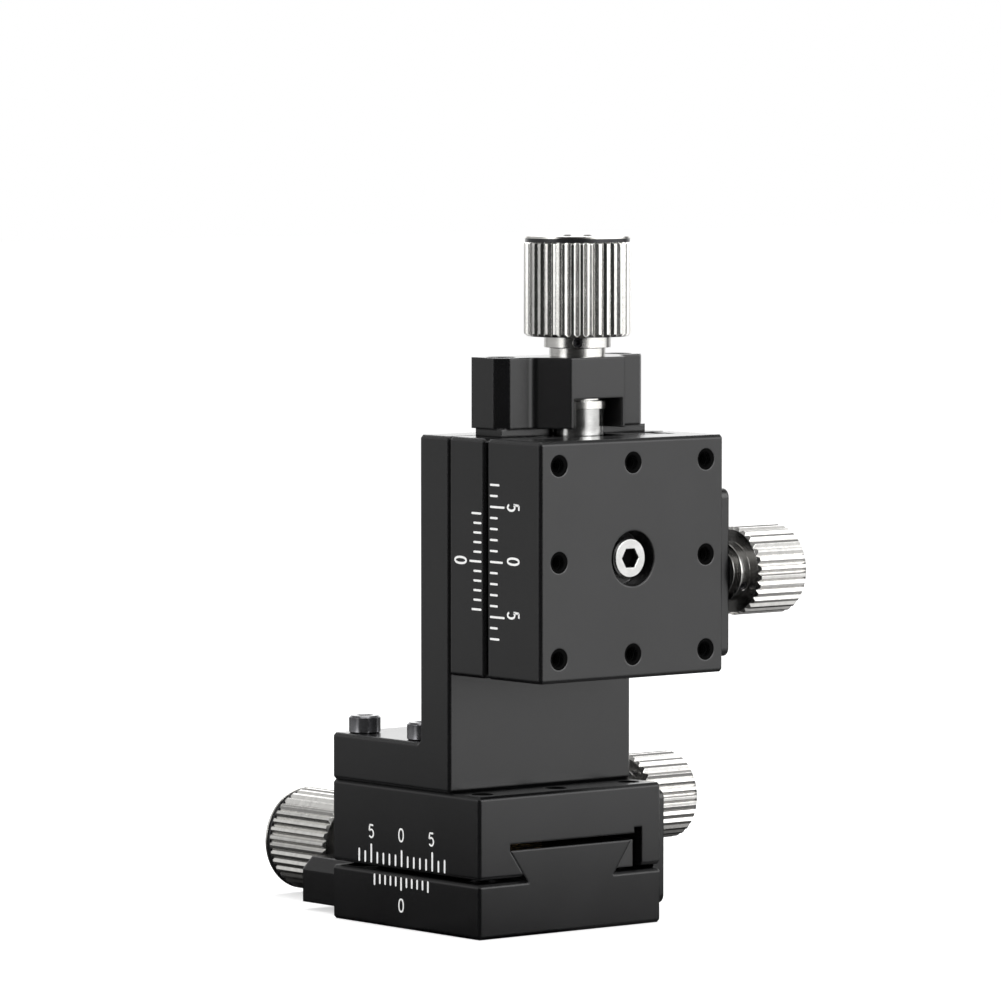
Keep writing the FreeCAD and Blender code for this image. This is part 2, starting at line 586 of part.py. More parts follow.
def make_bracket_screws(node, upright):
    """Two cap screws that hold the feed bracket to the base."""
    body = new_body(node, upright)
    seat = f"{BRACKET_FACE} + Sizes.bracket_head_depth"
    profile = cap_screw_profile(*M25, "Sizes.bracket_screw_length",
                                "Sizes.bracket_length - Sizes.bracket_head_depth")
    y, z = f"-{BRACKET_SCREW}", "Sizes.bracket_screw_height"
    turned = revolve(body, new_sketch(body, "XZ_Plane", (seat, z, f"-({y})")),
                     along_x(profile), "H_Axis")
    socket_sketch = new_sketch(body, "YZ_Plane", (y, z, f"{seat} - Sizes.small_head_height"))
    hexagon(socket_sketch, "Sizes.small_hex")
    socket = extrude(body, socket_sketch, "Sizes.small_head_height / 2", cut=True)
    spread(body, [turned, socket], [("Y_Axis", f"2 * {BRACKET_SCREW}", 2)])
    return body


def turned_on_feed_axis(node, upright, points):
    """A piece of revolution about the feed screw's axis; points are (x, radius)."""
    body = new_body(node, upright)
    sketch = new_sketch(body, "XZ_Plane", ("0", "Sizes.feed_height", "0"))
    revolve(body, sketch, points, "H_Axis")
    return body, sketch


def make_feed_bush(node, upright):
    """Flanged bush in the bracket."""
    bore = "Sizes.feed_radius + Sizes.feed_clearance"
    return turned_on_feed_axis(node, upright, [
        (BUSH_INNER, bore), (BUSH_INNER, "Sizes.bush_radius"), (BRACKET_FACE, "Sizes.bush_radius"),
        (BRACKET_FACE, "Sizes.flange_radius"), (FLANGE_FACE, "Sizes.flange_radius"),
        (FLANGE_FACE, bore),
    ])[0]


def make_feed_screw(node, upright):
    """Feed screw: knob end and journal, shoulder, then the threaded length."""
    outer = f"{KNOB_OUTER} - Sizes.shaft_proud"
    inner = "Sizes.trough_end - Sizes.screw_end_gap"
    step = f"-({END}) + Sizes.shoulder_inside"
    ease = "Sizes.edge_chamfer"
    return turned_on_feed_axis(node, upright, [
        (outer, "0"), (outer, f"Sizes.feed_radius - {ease}"), (f"{outer} + {ease}", "Sizes.feed_radius"),
        (SHOULDER_OUTER, "Sizes.feed_radius"), (SHOULDER_OUTER, "Sizes.shoulder_radius"),
        (step, "Sizes.shoulder_radius"), (step, "Sizes.feed_radius"),
        (f"{inner} - {ease}", "Sizes.feed_radius"), (inner, f"Sizes.feed_radius - {ease}"), (inner, "0"),
    ])[0]


def make_thrust_collar(node, upright):
    """Collar between the screw's shoulder and the bush."""
    bore = "Sizes.feed_radius + Sizes.thread_clearance"
    return turned_on_feed_axis(node, upright, [
        (SHOULDER_OUTER, bore), (SHOULDER_OUTER, "Sizes.collar_radius"),
        (COLLAR_OUTER, "Sizes.collar_radius"), (COLLAR_OUTER, bore),
    ])[0]


HUB_MIDDLE = f"({HUB_FACE} + {KNOB_INNER}) / 2"
GRUB_HOLE = "Sizes.grub_radius + Sizes.thread_clearance"


def make_feed_knob(node, upright):
    """Feed knob with a straight knurl, a thin rim behind a groove and a hub with a set screw hole."""
    bore = "Sizes.feed_radius + Sizes.thread_clearance"
    ease, root = "Sizes.knob_chamfer", "(Sizes.knob_radius - Sizes.knurl_depth)"
    rim = f"({KNOB_OUTER} + Sizes.knob_rim)"
    knurl_end = f"({rim} + Sizes.rim_groove)"
    body, axis_sketch = turned_on_feed_axis(node, upright, [
        (HUB_FACE, bore), (HUB_FACE, "Sizes.hub_radius"), (KNOB_INNER, "Sizes.hub_radius"),
        (KNOB_INNER, f"Sizes.knob_radius - {ease}"), (f"{KNOB_INNER} - {ease}", "Sizes.knob_radius"),
        (f"{knurl_end} + {ease} / 2", "Sizes.knob_radius"),
        (knurl_end, f"Sizes.knob_radius - {ease} / 2"), (knurl_end, root), (rim, root),
        (rim, "Sizes.knob_radius"), (KNOB_OUTER, "Sizes.knob_radius"), (KNOB_OUTER, bore),
    ])
    groove_sketch = new_sketch(body, "YZ_Plane", ("0", "Sizes.feed_height", rim))
    groove_outline(groove_sketch, "Sizes.knob_radius")
    groove = extrude(body, groove_sketch, "Sizes.knob_length - Sizes.knob_rim", cut=True)
    knurl(body, groove, axis_sketch, "Sizes.knob_teeth")
    hole_sketch = new_sketch(body, "XY_Plane", (HUB_MIDDLE, "0", "Sizes.feed_height"),
                             Vector(1, 0, 0), "Sizes.feed_grub_turn")
    draw_circle(hole_sketch, ("0", "0"), GRUB_HOLE)
    extrude(body, hole_sketch, "2 * Sizes.hub_radius", cut=True)
    return body


def make_feed_grub(node, upright):
    """Set screw that holds the feed knob on the screw."""
    body = new_body(node, upright)
    sketch = new_sketch(body, "XZ_Plane", (HUB_MIDDLE, "Sizes.feed_height", "0"),
                        Vector(1, 0, 0), "Sizes.feed_grub_turn")
    inner, outer = "Sizes.feed_radius + Sizes.thread_clearance", "Sizes.hub_radius - Sizes.grub_sink"
    revolve(body, sketch, [("0", inner), ("Sizes.grub_radius", inner),
                           ("Sizes.grub_radius", outer), ("0", outer)], "V_Axis")
    return body


def make_feed_nut(node, upright):
    """Nut block under the table, in the base's trough."""
    body = new_body(node, upright)
    half, low = "Sizes.nut_width / 2", "Sizes.feed_height - Sizes.nut_drop"
    start = "-Sizes.nut_length / 2"
    bar(body, [(f"-{half}", low), (half, low), (half, ROOF), (f"-{half}", ROOF)],
        start, "Sizes.nut_length")
    bevel(body, [("x", start), ("x", "Sizes.nut_length / 2"), ("y", f"-{half}"), ("y", half), ("z", low)])
    end_holes(body, [("0", "Sizes.feed_height")], "Sizes.feed_radius + Sizes.feed_clearance",
              start, "Sizes.nut_length")
    round_holes(body, [("0", "0")], "Sizes.nut_bolt_tap", ROOF, f"{ROOF} - Sizes.feed_height")
    return body


def make_nut_screw(node, upright):
    """Cap screw that holds the nut, seen in the middle of the table."""
    body = new_body(node, upright)
    core = "(Sizes.nut_bolt_tap - Sizes.thread_clearance)"
    size = ("Sizes.nut_bolt_radius", core, "Sizes.nut_head_radius", "Sizes.screw_head_height")
    down_screws(body, "0", "0", NUT_HEAD_SEAT, size, NUT_SCREW_LENGTH,
                f"{NUT_HEAD_SEAT} - {ROOF}", "Sizes.nut_hex")
    return body


PLATE_START = "(Sizes.clamp_offset - Sizes.plate_length / 2)"
PLATE_STOP = "(Sizes.clamp_offset + Sizes.plate_length / 2)"


def make_clamp_plate(node, upright):
    """Plate on the side of the base; the clamp's stud rides along its slot."""
    body = new_body(node, upright)
    sketch = new_sketch(body, "XZ_Plane", ("0", "0", f"-{PLATE_FACE}"))
    draw_rectangle(sketch, (PLATE_START, "Sizes.plate_low"), (PLATE_STOP, PLATE_HIGH))
    extrude(body, sketch, "Sizes.plate_thickness")
    round_off(body, [("x", PLATE_START), ("x", PLATE_STOP), ("z", "Sizes.plate_low"),
                     ("z", PLATE_HIGH)], "Sizes.plate_corner")
    relief = new_sketch(body, "XZ_Plane", ("0", "0", f"-({SIDE} + Sizes.plate_relief)"))
    draw_rectangle(relief, (f"{PLATE_START} - 1", "Sizes.base_height"),
                   (f"{PLATE_STOP} + 1", f"{PLATE_HIGH} + 1"))
    extrude(body, relief, "Sizes.plate_relief", cut=True)
    reach = "Sizes.travel"
    half_width = "(Sizes.screw_radius + Sizes.slot_clearance)"
    ends = [(f"Sizes.clamp_offset {i} {reach}", CLAMP_HEIGHT) for i in ("-", "+")]
    side_holes(body, ends, half_width, PLATE_FACE, "Sizes.plate_thickness")
    slot = new_sketch(body, "XZ_Plane", ("0", "0", f"-{PLATE_FACE}"))
    draw_rectangle(slot, (f"Sizes.clamp_offset - {reach}", f"{CLAMP_HEIGHT} - {half_width}"),
                   (f"Sizes.clamp_offset + {reach}", f"{CLAMP_HEIGHT} + {half_width}"))
    extrude(body, slot, "Sizes.plate_thickness", cut=True)
    screws = [(f"Sizes.clamp_offset {i} Sizes.plate_screw_offset", "Sizes.plate_screw_height")
              for i in ("-", "+")]
    side_holes(body, screws, "Sizes.small_hole_radius", PLATE_FACE, "Sizes.plate_thickness")
    sink = "Sizes.flat_head_radius - Sizes.small_hole_radius"
    countersink(body, "Sizes.small_hole_radius", "y", PLATE_FACE, sink, sink)
    return body


def make_plate_screws(node, upright):
    """Two countersunk screws that hold the clamp plate to the base."""
    body = new_body(node, upright)
    head = "Sizes.flat_head_radius - Sizes.thread_clearance"
    sketch = new_sketch(body, "YZ_Plane", (PLATE_FACE, "Sizes.plate_screw_height",
                                           "Sizes.clamp_offset - Sizes.plate_screw_offset"))
    turned = revolve(body, sketch, [
        ("-Sizes.plate_screw_length", "0"), ("-Sizes.plate_screw_length", SMALL_CORE),
        ("-Sizes.plate_thickness", SMALL_CORE), ("-Sizes.plate_thickness", "Sizes.small_radius"),
        (f"Sizes.small_radius - ({head})", "Sizes.small_radius"), ("0", head), ("0", "0"),
    ], "H_Axis")
    socket_sketch = new_sketch(body, "XZ_Plane", (
        "Sizes.clamp_offset - Sizes.plate_screw_offset", "Sizes.plate_screw_height", f"-{PLATE_FACE}"))
    hexagon(socket_sketch, "Sizes.small_radius")
    socket = extrude(body, socket_sketch, "Sizes.small_radius", cut=True)
    spread(body, [turned, socket], [("X_Axis", "2 * Sizes.plate_screw_offset", 2)])
    return body


def turned_on_clamp_axis(node, upright, points):
    """A piece of revolution about the clamp's axis; points are (y, radius)."""
    body = new_body(node, upright)
    sketch = new_sketch(body, "YZ_Plane", ("0", CLAMP_HEIGHT, "Sizes.clamp_offset"))
    revolve(body, sketch, points, "H_Axis")
    return body, sketch


def make_clamp_stud(node, upright):
    """Stud screwed into the carriage; the clamp knob is fixed to its outer end."""
    tip, ease = f"{SIDE} - Sizes.stud_depth", "Sizes.edge_chamfer"
    shank = f"{SIDE} + Sizes.plate_relief"
    outer = f"{CLAMP_OUTER} - Sizes.clamp_knob_wall - Sizes.thread_clearance"
    return turned_on_clamp_axis(node, upright, [
        (tip, "0"), (tip, f"{CORE} - {ease}"), (f"{tip} + {ease}", CORE), (shank, CORE),
        (shank, "Sizes.screw_radius"), (outer, "Sizes.screw_radius"), (outer, "0"),
    ])[0]


def make_clamp_washer(node, upright):
    """Washer between the clamp knob and the plate."""
    bore = "Sizes.screw_radius + Sizes.thread_clearance"
    return turned_on_clamp_axis(node, upright, [
        (WASHER_FACE, bore), (WASHER_FACE, "Sizes.washer_radius"),
        (CLAMP_HUB, "Sizes.washer_radius"), (CLAMP_HUB, bore),
    ])[0]


CLAMP_HUB_MIDDLE = f"({CLAMP_HUB} + {CLAMP_INNER}) / 2"


def make_clamp_knob(node, upright):
    """Clamp knob with a straight knurl and a hub."""
    bore, ease = "Sizes.screw_radius + Sizes.thread_clearance", "Sizes.knob_chamfer"
    rim = "Sizes.clamp_knob_radius"
    closed = f"{CLAMP_OUTER} - Sizes.clamp_knob_wall"
    body, axis_sketch = turned_on_clamp_axis(node, upright, [
        (CLAMP_HUB, bore), (CLAMP_HUB, "Sizes.clamp_hub_radius"),
        (CLAMP_INNER, "Sizes.clamp_hub_radius"), (CLAMP_INNER, f"{rim} - {ease}"),
        (f"{CLAMP_INNER} + {ease}", rim), (f"{CLAMP_OUTER} - {ease}", rim),
        (CLAMP_OUTER, f"{rim} - {ease}"), (CLAMP_OUTER, "0"), (closed, "0"), (closed, bore),
    ])
    groove_sketch = new_sketch(body, "XZ_Plane",
                               ("Sizes.clamp_offset", CLAMP_HEIGHT, f"-{CLAMP_OUTER}"))
    groove_outline(groove_sketch, rim)
    groove = extrude(body, groove_sketch, "Sizes.clamp_knob_length", cut=True)
    knurl(body, groove, axis_sketch, "Sizes.clamp_knob_teeth")
    hole_sketch = new_sketch(body, "XY_Plane",
                             ("Sizes.clamp_offset", CLAMP_HUB_MIDDLE, CLAMP_HEIGHT),
                             Vector(0, 1, 0), "Sizes.clamp_grub_turn")
    draw_circle(hole_sketch, ("0", "0"), GRUB_HOLE)
    extrude(body, hole_sketch, "2 * Sizes.clamp_hub_radius", cut=True)
    return body


def make_clamp_grub(node, upright):
    """Set screw that holds the clamp knob on its stud."""
    body = new_body(node, upright)
    sketch = new_sketch(body, "YZ_Plane",
                        (CLAMP_HUB_MIDDLE, CLAMP_HEIGHT, "Sizes.clamp_offset"),
                        Vector(1, 0, 0), "Sizes.clamp_grub_turn")
    inner = "Sizes.screw_radius + Sizes.thread_clearance"
    outer = "Sizes.clamp_hub_radius - Sizes.grub_sink"
    revolve(body, sketch, [("0", inner), ("Sizes.grub_radius", inner),
                           ("Sizes.grub_radius", outer), ("0", outer)], "V_Axis")
    return body


def make_angle_bracket(node):
    """Angle bracket: its foot lies on the lower table, its leg carries the upright stage."""
    body = new_body(node)
    sketch = new_sketch(body, "XZ_Plane", ("0", "0", f"-({SIDE})"))
    back = "Sizes.leg_front - Sizes.leg_thickness"
    draw_outline(sketch, [
        (f"-({END})", "Sizes.stage_height"), ("Sizes.leg_front", "Sizes.stage_height"),
        ("Sizes.leg_front", COLUMN_TOP), (back, COLUMN_TOP), (back, FOOT_TOP), (f"-({END})", FOOT_TOP),
    ])
    extrude(body, sketch, "Sizes.table_width")
    bevel(body, [
        ("x", f"-({END})"), ("x", "Sizes.leg_front"), ("x", back), ("y", f"-({SIDE})"), ("y", SIDE),
        ("z", "Sizes.stage_height"), ("z", COLUMN_TOP), ("z", FOOT_TOP),
    ])
    foot_holes = [(f"{i}{HOLE_X}", f"{j}{HOLE_Y}") for i in ("-", "0 * ") for j in ("-", "")]
    round_holes(body, foot_holes, "Sizes.screw_hole_radius", FOOT_TOP, "Sizes.foot_thickness")
    leg_holes = [(f"{i}{HOLE_Y}", f"{UPRIGHT_MIDDLE} {j} {HOLE_X}") for i in ("-", "") for j in ("-", "+")]
    end_holes(body, leg_holes, "Sizes.tap_radius", back, "Sizes.leg_thickness")
    return body


def make_foot_screws(node):
    """Four cap screws that hold the angle bracket on the lower table."""
    body = new_body(node)
    down_screws(body, f"-{HOLE_X}", f"-{HOLE_Y}", FOOT_TOP, M3, "Sizes.foot_screw_length",
                "Sizes.foot_thickness", "Sizes.screw_hex",
                [("X_Axis", HOLE_X, 2), ("Y_Axis", f"2 * {HOLE_Y}", 2)])
    return body


def make_mount_screws(node):
    """Four cap screws inside the upright stage that hold its base to the leg."""
    body = new_body(node, upright=True)
    down_screws(body, f"-{HOLE_X}", f"-{HOLE_Y}", HEAD_SEAT, M3, "Sizes.mount_screw_length",
                HEAD_SEAT, "Sizes.screw_hex",
                [("X_Axis", f"2 * {HOLE_X}", 2), ("Y_Axis", f"2 * {HOLE_Y}", 2)])
    return body


STAGE_PIECES = [
    ("base", make_base), ("carriage", make_carriage), ("gib", make_gib),
    ("gib_screws", make_gib_screws), ("feed_bracket", make_feed_bracket),
    ("bracket_screws", make_bracket_screws), ("feed_bush", make_feed_bush),
    ("feed_screw", make_feed_screw), ("thrust_collar", make_thrust_collar),
    ("feed_knob", make_feed_knob), ("feed_knob_set_screw", make_feed_grub),
    ("feed_nut", make_feed_nut), ("nut_screw", make_nut_screw), ("clamp_plate", make_clamp_plate),
    ("clamp_plate_screws", make_plate_screws), ("clamp_stud", make_clamp_stud),
    ("clamp_washer", make_clamp_washer), ("clamp_knob", make_clamp_knob),
    ("clamp_knob_set_screw", make_clamp_grub),
]
sub_parts = []
for prefix, upright in (("x", False), ("z", True)):
    for name, make in STAGE_PIECES:
        sub_parts.append(make(f"{prefix}_{name}", upright))
sub_parts.append(make_angle_bracket("z_mount_bracket"))
sub_parts.append(make_foot_screws("foot_screws"))
sub_parts.append(make_mount_screws("z_mount_screws"))

# Check every object, then write one file per sub-part
doc.recompute()
for item in doc.Objects:
    if "Invalid" in item.State or "Error" in item.State:
        raise ValueError(f"{item.Name} did not build: {item.State}")
for sub_part in sub_parts:
    if sub_part.Shape.isNull() or not sub_part.Shape.isValid():
        raise ValueError(f"{sub_part.Label} has no sound shape")
os.makedirs("parts", exist_ok=True)
for sub_part in sub_parts:
    sub_part.Shape.exportStep(f"parts/{sub_part.Label}.step")
    print(sub_part.Label, len(sub_part.Shape.Solids), "solids", round(sub_part.Shape.Volume, 1), "mm3")
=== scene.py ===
# %% [markdown]
# # An xz translation stage, dressed for a product picture
#
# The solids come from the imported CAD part: two small dovetail stages, one lying and one upright
# on an angle bracket. Their shapes are right, so they stay. This script gives each of them a
# finish, and adds what is too fine for the solids: the white scales and numbers, the threads in
# the tapped holes, and the small screws with their serrated heads and sockets.

# %% Load the frame
import math

import bpy
from mathutils import Matrix, Vector


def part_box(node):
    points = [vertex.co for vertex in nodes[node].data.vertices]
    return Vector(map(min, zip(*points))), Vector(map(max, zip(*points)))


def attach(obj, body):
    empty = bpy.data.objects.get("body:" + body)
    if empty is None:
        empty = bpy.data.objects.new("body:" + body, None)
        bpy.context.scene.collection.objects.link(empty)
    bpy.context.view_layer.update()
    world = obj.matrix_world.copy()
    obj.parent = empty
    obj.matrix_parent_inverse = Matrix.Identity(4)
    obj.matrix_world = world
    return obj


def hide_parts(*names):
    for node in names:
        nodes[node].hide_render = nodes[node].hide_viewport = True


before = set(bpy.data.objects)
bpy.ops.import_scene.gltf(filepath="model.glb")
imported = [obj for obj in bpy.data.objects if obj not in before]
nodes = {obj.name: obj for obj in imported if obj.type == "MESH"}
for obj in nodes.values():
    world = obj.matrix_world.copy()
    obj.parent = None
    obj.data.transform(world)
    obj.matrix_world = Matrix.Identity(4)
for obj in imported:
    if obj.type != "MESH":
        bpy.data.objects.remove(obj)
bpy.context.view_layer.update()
MM = 0.001

# %% [markdown]
# ## Where things are
#
# Every place below is read from the frame, so a piece follows the solids when the part changes.
# Both stages are one design, drawn lying flat: x along the travel, y across, z up from the
# mounting face. A stage's own matrix turns such a flat place into the row's frame: the lower
# stage stays as drawn, and the upright one is turned so that its x runs down.

# %% Places on a flat stage, in millimetres
table_low, table_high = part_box("x_carriage")
upright_low, upright_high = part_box("z_base")

SIDE_FACE = table_low[1] / MM
TABLE_TOP = table_high[2] / MM
TABLE_UNDER = table_low[2] / MM
SCREW_HEAD = 2.75
HOLE = -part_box("foot_screws")[0][0] / MM - SCREW_HEAD

LOWER = Matrix.Identity(4)
upright_middle = (upright_low[2] + upright_high[2]) / 2
UPRIGHT = Matrix.Translation((upright_low[0], 0, upright_middle)) @ Matrix.Rotation(math.pi / 2, 4, "Y")
STAGES = {
    "x": {"place": LOWER, "base": "lower_base", "table": "lower_table",
          "feed": "lower_feed", "clamp": "lower_clamp"},
    "z": {"place": UPRIGHT, "base": "lower_table", "table": "upright_table",
          "feed": "upright_feed", "clamp": "upright_clamp"},
}
print("table top", round(TABLE_TOP, 2), "parting", round(TABLE_UNDER, 2), "side", round(SIDE_FACE, 2),
      "holes at", round(HOLE, 2))

# %% [markdown]
# ## Node groups for the finishes
#
# Machined parts share a few effects, and each one is a node group with named inputs and outputs.
# A group is built once and placed in every material that needs it, with other values each time.
# This small helper makes the empty group and its sockets.


# %% Helpers for node trees
def new_group(name, inputs, outputs):
    """An empty shader group. Inputs are (name, type, default), outputs (name, type)."""
    group = bpy.data.node_groups.new(name, "ShaderNodeTree")
    for label, kind, default in inputs:
        socket = group.interface.new_socket(label, in_out="INPUT", socket_type=f"NodeSocket{kind}")
        if default is not None:
            socket.default_value = default
    for label, kind in outputs:
        group.interface.new_socket(label, in_out="OUTPUT", socket_type=f"NodeSocket{kind}")
    return group, group.nodes.new("NodeGroupInput"), group.nodes.new("NodeGroupOutput")


def math_node(tree, operation, *values):
    """A Math node whose inputs are plain numbers or the sockets that feed it."""
    node = tree.nodes.new("ShaderNodeMath")
    node.operation = operation
    for socket, value in zip(node.inputs, values):
        if isinstance(value, (int, float)):
            socket.default_value = value
        else:
            tree.links.new(value, socket)
    return node.outputs[0]


def vector_node(tree, operation, *values):
    """A Vector Math node. Returns its vector, or its value where it gives one."""
    node = tree.nodes.new("ShaderNodeVectorMath")
    node.operation = operation
    for socket, value in zip(node.inputs, values):
        if isinstance(value, (tuple, list)):
            socket.default_value = value
        else:
            tree.links.new(value, socket)
    return node.outputs["Value" if operation in ("LENGTH", "DOT_PRODUCT") else "Vector"]


def noise_node(tree, vector, scale, detail=2.0, roughness=0.5):
    node = tree.nodes.new("ShaderNodeTexNoise")
    node.inputs["Scale"].default_value = scale
    node.inputs["Detail"].default_value = detail
    node.inputs["Roughness"].default_value = roughness
    tree.links.new(vector, node.inputs["Vector"])
    return node.outputs["Fac"]


def remap(tree, value, low, high, to_low, to_high):
    """Map Range, clamped: low becomes to_low, and high becomes to_high."""
    node = tree.nodes.new("ShaderNodeMapRange")
    tree.links.new(value, node.inputs["Value"])
    node.inputs["From Min"].default_value = low
    node.inputs["From Max"].default_value = high
    node.inputs["To Min"].default_value = to_low
    node.inputs["To Max"].default_value = to_high
    return node.outputs["Result"]


# %% [markdown]
# ### Soft edges
#
# No machined edge is razor sharp: a deburring pass rounds it by one to a few tenths of a
# millimetre, and that rounding catches a thin line of whatever stands beside it. It could be
# modelled with a bevel on every edge, at a great cost in faces. A Bevel node reads the same
# rounding from the surface while it renders, and how far its normal leans from the true one also
# tells where an edge is, which gives the mask for wear.


# %% Soft edges
def make_soft_edges():
    group, given, result = new_group(
        "soft edges",
        [("Radius", "Float", 0.0002)],
        [("Normal", "Vector"), ("Edge", "Float")])
    bevel = group.nodes.new("ShaderNodeBevel")
    bevel.samples = 6
    group.links.new(given.outputs["Radius"], bevel.inputs["Radius"])
    geometry = group.nodes.new("ShaderNodeNewGeometry")
    lean = vector_node(group, "DOT_PRODUCT", bevel.outputs["Normal"], geometry.outputs["Normal"])
    edge = remap(group, lean, 0.98, 0.80, 0.0, 1.0)
    group.links.new(bevel.outputs["Normal"], result.inputs["Normal"])
    group.links.new(edge, result.inputs["Edge"])
    return group


soft_edges = make_soft_edges()
print("group", soft_edges.name)

# %% [markdown]
# ### Blasted grain
#
# Before it is anodised, the aluminium is blasted with fine beads, which leaves a grain of about
# a twentieth of a millimetre and a satin sheen. Two noises make it: a fine one for the grain,
# which goes to the bump, and a wide and weak one for the clouding of the dye, which goes to the
# colour and roughness.


# %% Blasted grain
def make_blasted_grain():
    group, given, result = new_group(
        "blasted grain",
        [("Vector", "Vector", None), ("Grain Scale", "Float", 14000.0)],
        [("Height", "Float"), ("Cloud", "Float"), ("Handling", "Float")])
    grain = group.nodes.new("ShaderNodeTexNoise")
    grain.inputs["Detail"].default_value = 2.0
    group.links.new(given.outputs["Vector"], grain.inputs["Vector"])
    group.links.new(given.outputs["Grain Scale"], grain.inputs["Scale"])
    cloud = noise_node(group, given.outputs["Vector"], 90.0, 4.0, 0.6)
    handling = noise_node(group, given.outputs["Vector"], 210.0, 6.0, 0.7)
    group.links.new(grain.outputs["Fac"], result.inputs["Height"])
    group.links.new(remap(group, cloud, 0.3, 0.7, 0.0, 1.0), result.inputs["Cloud"])
    group.links.new(remap(group, handling, 0.52, 0.72, 0.0, 1.0), result.inputs["Handling"])
    return group


blasted_grain = make_blasted_grain()
print("group", blasted_grain.name)

# %% [markdown]
# ### Turned rings
#
# Knobs, collars and shafts come off a lathe. The tool leaves rings: circles on an end face and
# bands round a cylinder, never along it. Both follow from two numbers of a point, its distance
# from the axis and its place along it. A noise that is fed with these two alone can't vary
# round the axis, so it draws exactly such rings.


# %% Turned rings
def make_turned_rings():
    group, given, result = new_group(
        "turned rings",
        [("Vector", "Vector", None), ("Centre", "Vector", (0, 0, 0)), ("Axis", "Vector", (0, 0, 1)),
         ("Ring Scale", "Float", 5000.0)],
        [("Height", "Float"), ("Tone", "Float")])
    offset = vector_node(group, "SUBTRACT", given.outputs["Vector"], given.outputs["Centre"])
    along = vector_node(group, "DOT_PRODUCT", offset, given.outputs["Axis"])
    across = vector_node(group, "CROSS_PRODUCT", offset, given.outputs["Axis"])
    radius = vector_node(group, "LENGTH", across)
    both = group.nodes.new("ShaderNodeCombineXYZ")
    group.links.new(radius, both.inputs["X"])
    group.links.new(along, both.inputs["Y"])
    rings = group.nodes.new("ShaderNodeTexNoise")
    rings.inputs["Detail"].default_value = 3.0
    group.links.new(both.outputs[0], rings.inputs["Vector"])
    group.links.new(given.outputs["Ring Scale"], rings.inputs["Scale"])
    tone = noise_node(group, both.outputs[0], 700.0, 2.0)
    group.links.new(rings.outputs["Fac"], result.inputs["Height"])
    group.links.new(tone, result.inputs["Tone"])
    return group


turned_rings = make_turned_rings()
print("group", turned_rings.name)

# %% [markdown]
# ## The finishes
#
# Each material starts in the same way: object coordinates, which ride with the piece, a
# Principled shader and its output. The object coordinates are metres here, because every object
# sits at the row's origin, so a noise scale of 1000 means features of about a millimetre.


# %% Start of a material
def new_material(name):
    material = bpy.data.materials.new(name)
    material.use_nodes = True
    tree = material.node_tree
    tree.nodes.clear()
    output = tree.nodes.new("ShaderNodeOutputMaterial")
    shader = tree.nodes.new("ShaderNodeBsdfPrincipled")
    tree.links.new(shader.outputs["BSDF"], output.inputs["Surface"])
    coordinates = tree.nodes.new("ShaderNodeTexCoord")
    return material, tree, shader, coordinates.outputs["Object"]


def place_group(tree, group, vector=None, **values):
    node = tree.nodes.new("ShaderNodeGroup")
    node.node_tree = group
    if vector:
        tree.links.new(vector, node.inputs["Vector"])
    for label, value in values.items():
        node.inputs[label.replace("_", " ")].default_value = value
    return node


def mix_colours(tree, factor, first, second):
    node = tree.nodes.new("ShaderNodeMix")
    node.data_type = "RGBA"
    tree.links.new(factor, node.inputs[0])
    for socket, colour in ((node.inputs[6], first), (node.inputs[7], second)):
        if isinstance(colour, tuple):
            socket.default_value = (*colour, 1.0)
        else:
            tree.links.new(colour, socket)
    return node.outputs[2]


def bump(tree, height, strength, distance, normal=None):
    node = tree.nodes.new("ShaderNodeBump")
    node.inputs["Strength"].default_value = strength
    node.inputs["Distance"].default_value = distance
    tree.links.new(height, node.inputs["Height"])
    if normal:
        tree.links.new(normal, node.inputs["Normal"])
    return node.outputs["Normal"]


# %% [markdown]
# ### Black anodised aluminium
#
# The blocks are aluminium with a black dyed oxide skin: nearly black, with a satin gloss that
# turns to a clear mirror at a flat angle. The edges stay nearly as dark as the faces, and hands
# have rubbed them a touch smoother. The cloud and handling masks keep broad faces from looking
# like paint. The gib is the same metal with a thinner dye, and the hole shade is the dead dark of
# a hole that no light reaches.


# %% Black anodised aluminium
def make_black_anodised(name, black, edge, rough):
    material, tree, shader, place = new_material(name)
    grain = place_group(tree, blasted_grain, place, Grain_Scale=14000.0)
    edges = place_group(tree, soft_edges, Radius=0.00045)
    clouded = mix_colours(tree, grain.outputs["Cloud"], black, tuple(1.35 * c for c in black))
    coloured = mix_colours(tree, edges.outputs["Edge"], clouded, edge)
    tree.links.new(coloured, shader.inputs["Base Color"])
    satin = remap(tree, grain.outputs["Cloud"], 0.0, 1.0, rough, rough + 0.015)
    handled = math_node(tree, "MULTIPLY", grain.outputs["Handling"], 0.006)
    worn = math_node(tree, "MULTIPLY", edges.outputs["Edge"], -0.06)
    total = math_node(tree, "ADD", math_node(tree, "ADD", satin, handled), worn)
    tree.links.new(total, shader.inputs["Roughness"])
    shader.inputs["Specular IOR Level"].default_value = 0.6
    normal = bump(tree, grain.outputs["Height"], 0.10, 0.00002, edges.outputs["Normal"])
    tree.links.new(normal, shader.inputs["Normal"])
    return material


black_anodised = make_black_anodised(
    "black anodised", (0.0032, 0.0032, 0.0035), (0.006, 0.006, 0.0065), 0.25)
gib_metal = make_black_anodised("gib metal", (0.012, 0.012, 0.012), (0.05, 0.05, 0.05), 0.30)
hole_shade = make_black_anodised("hole shade", (0.003, 0.003, 0.003), (0.008, 0.008, 0.008), 0.55)
hole_shade.node_tree.nodes["Principled BSDF"].inputs["Specular IOR Level"].default_value = 0.0
print("materials", black_anodised.name, gib_metal.name, hole_shade.name)

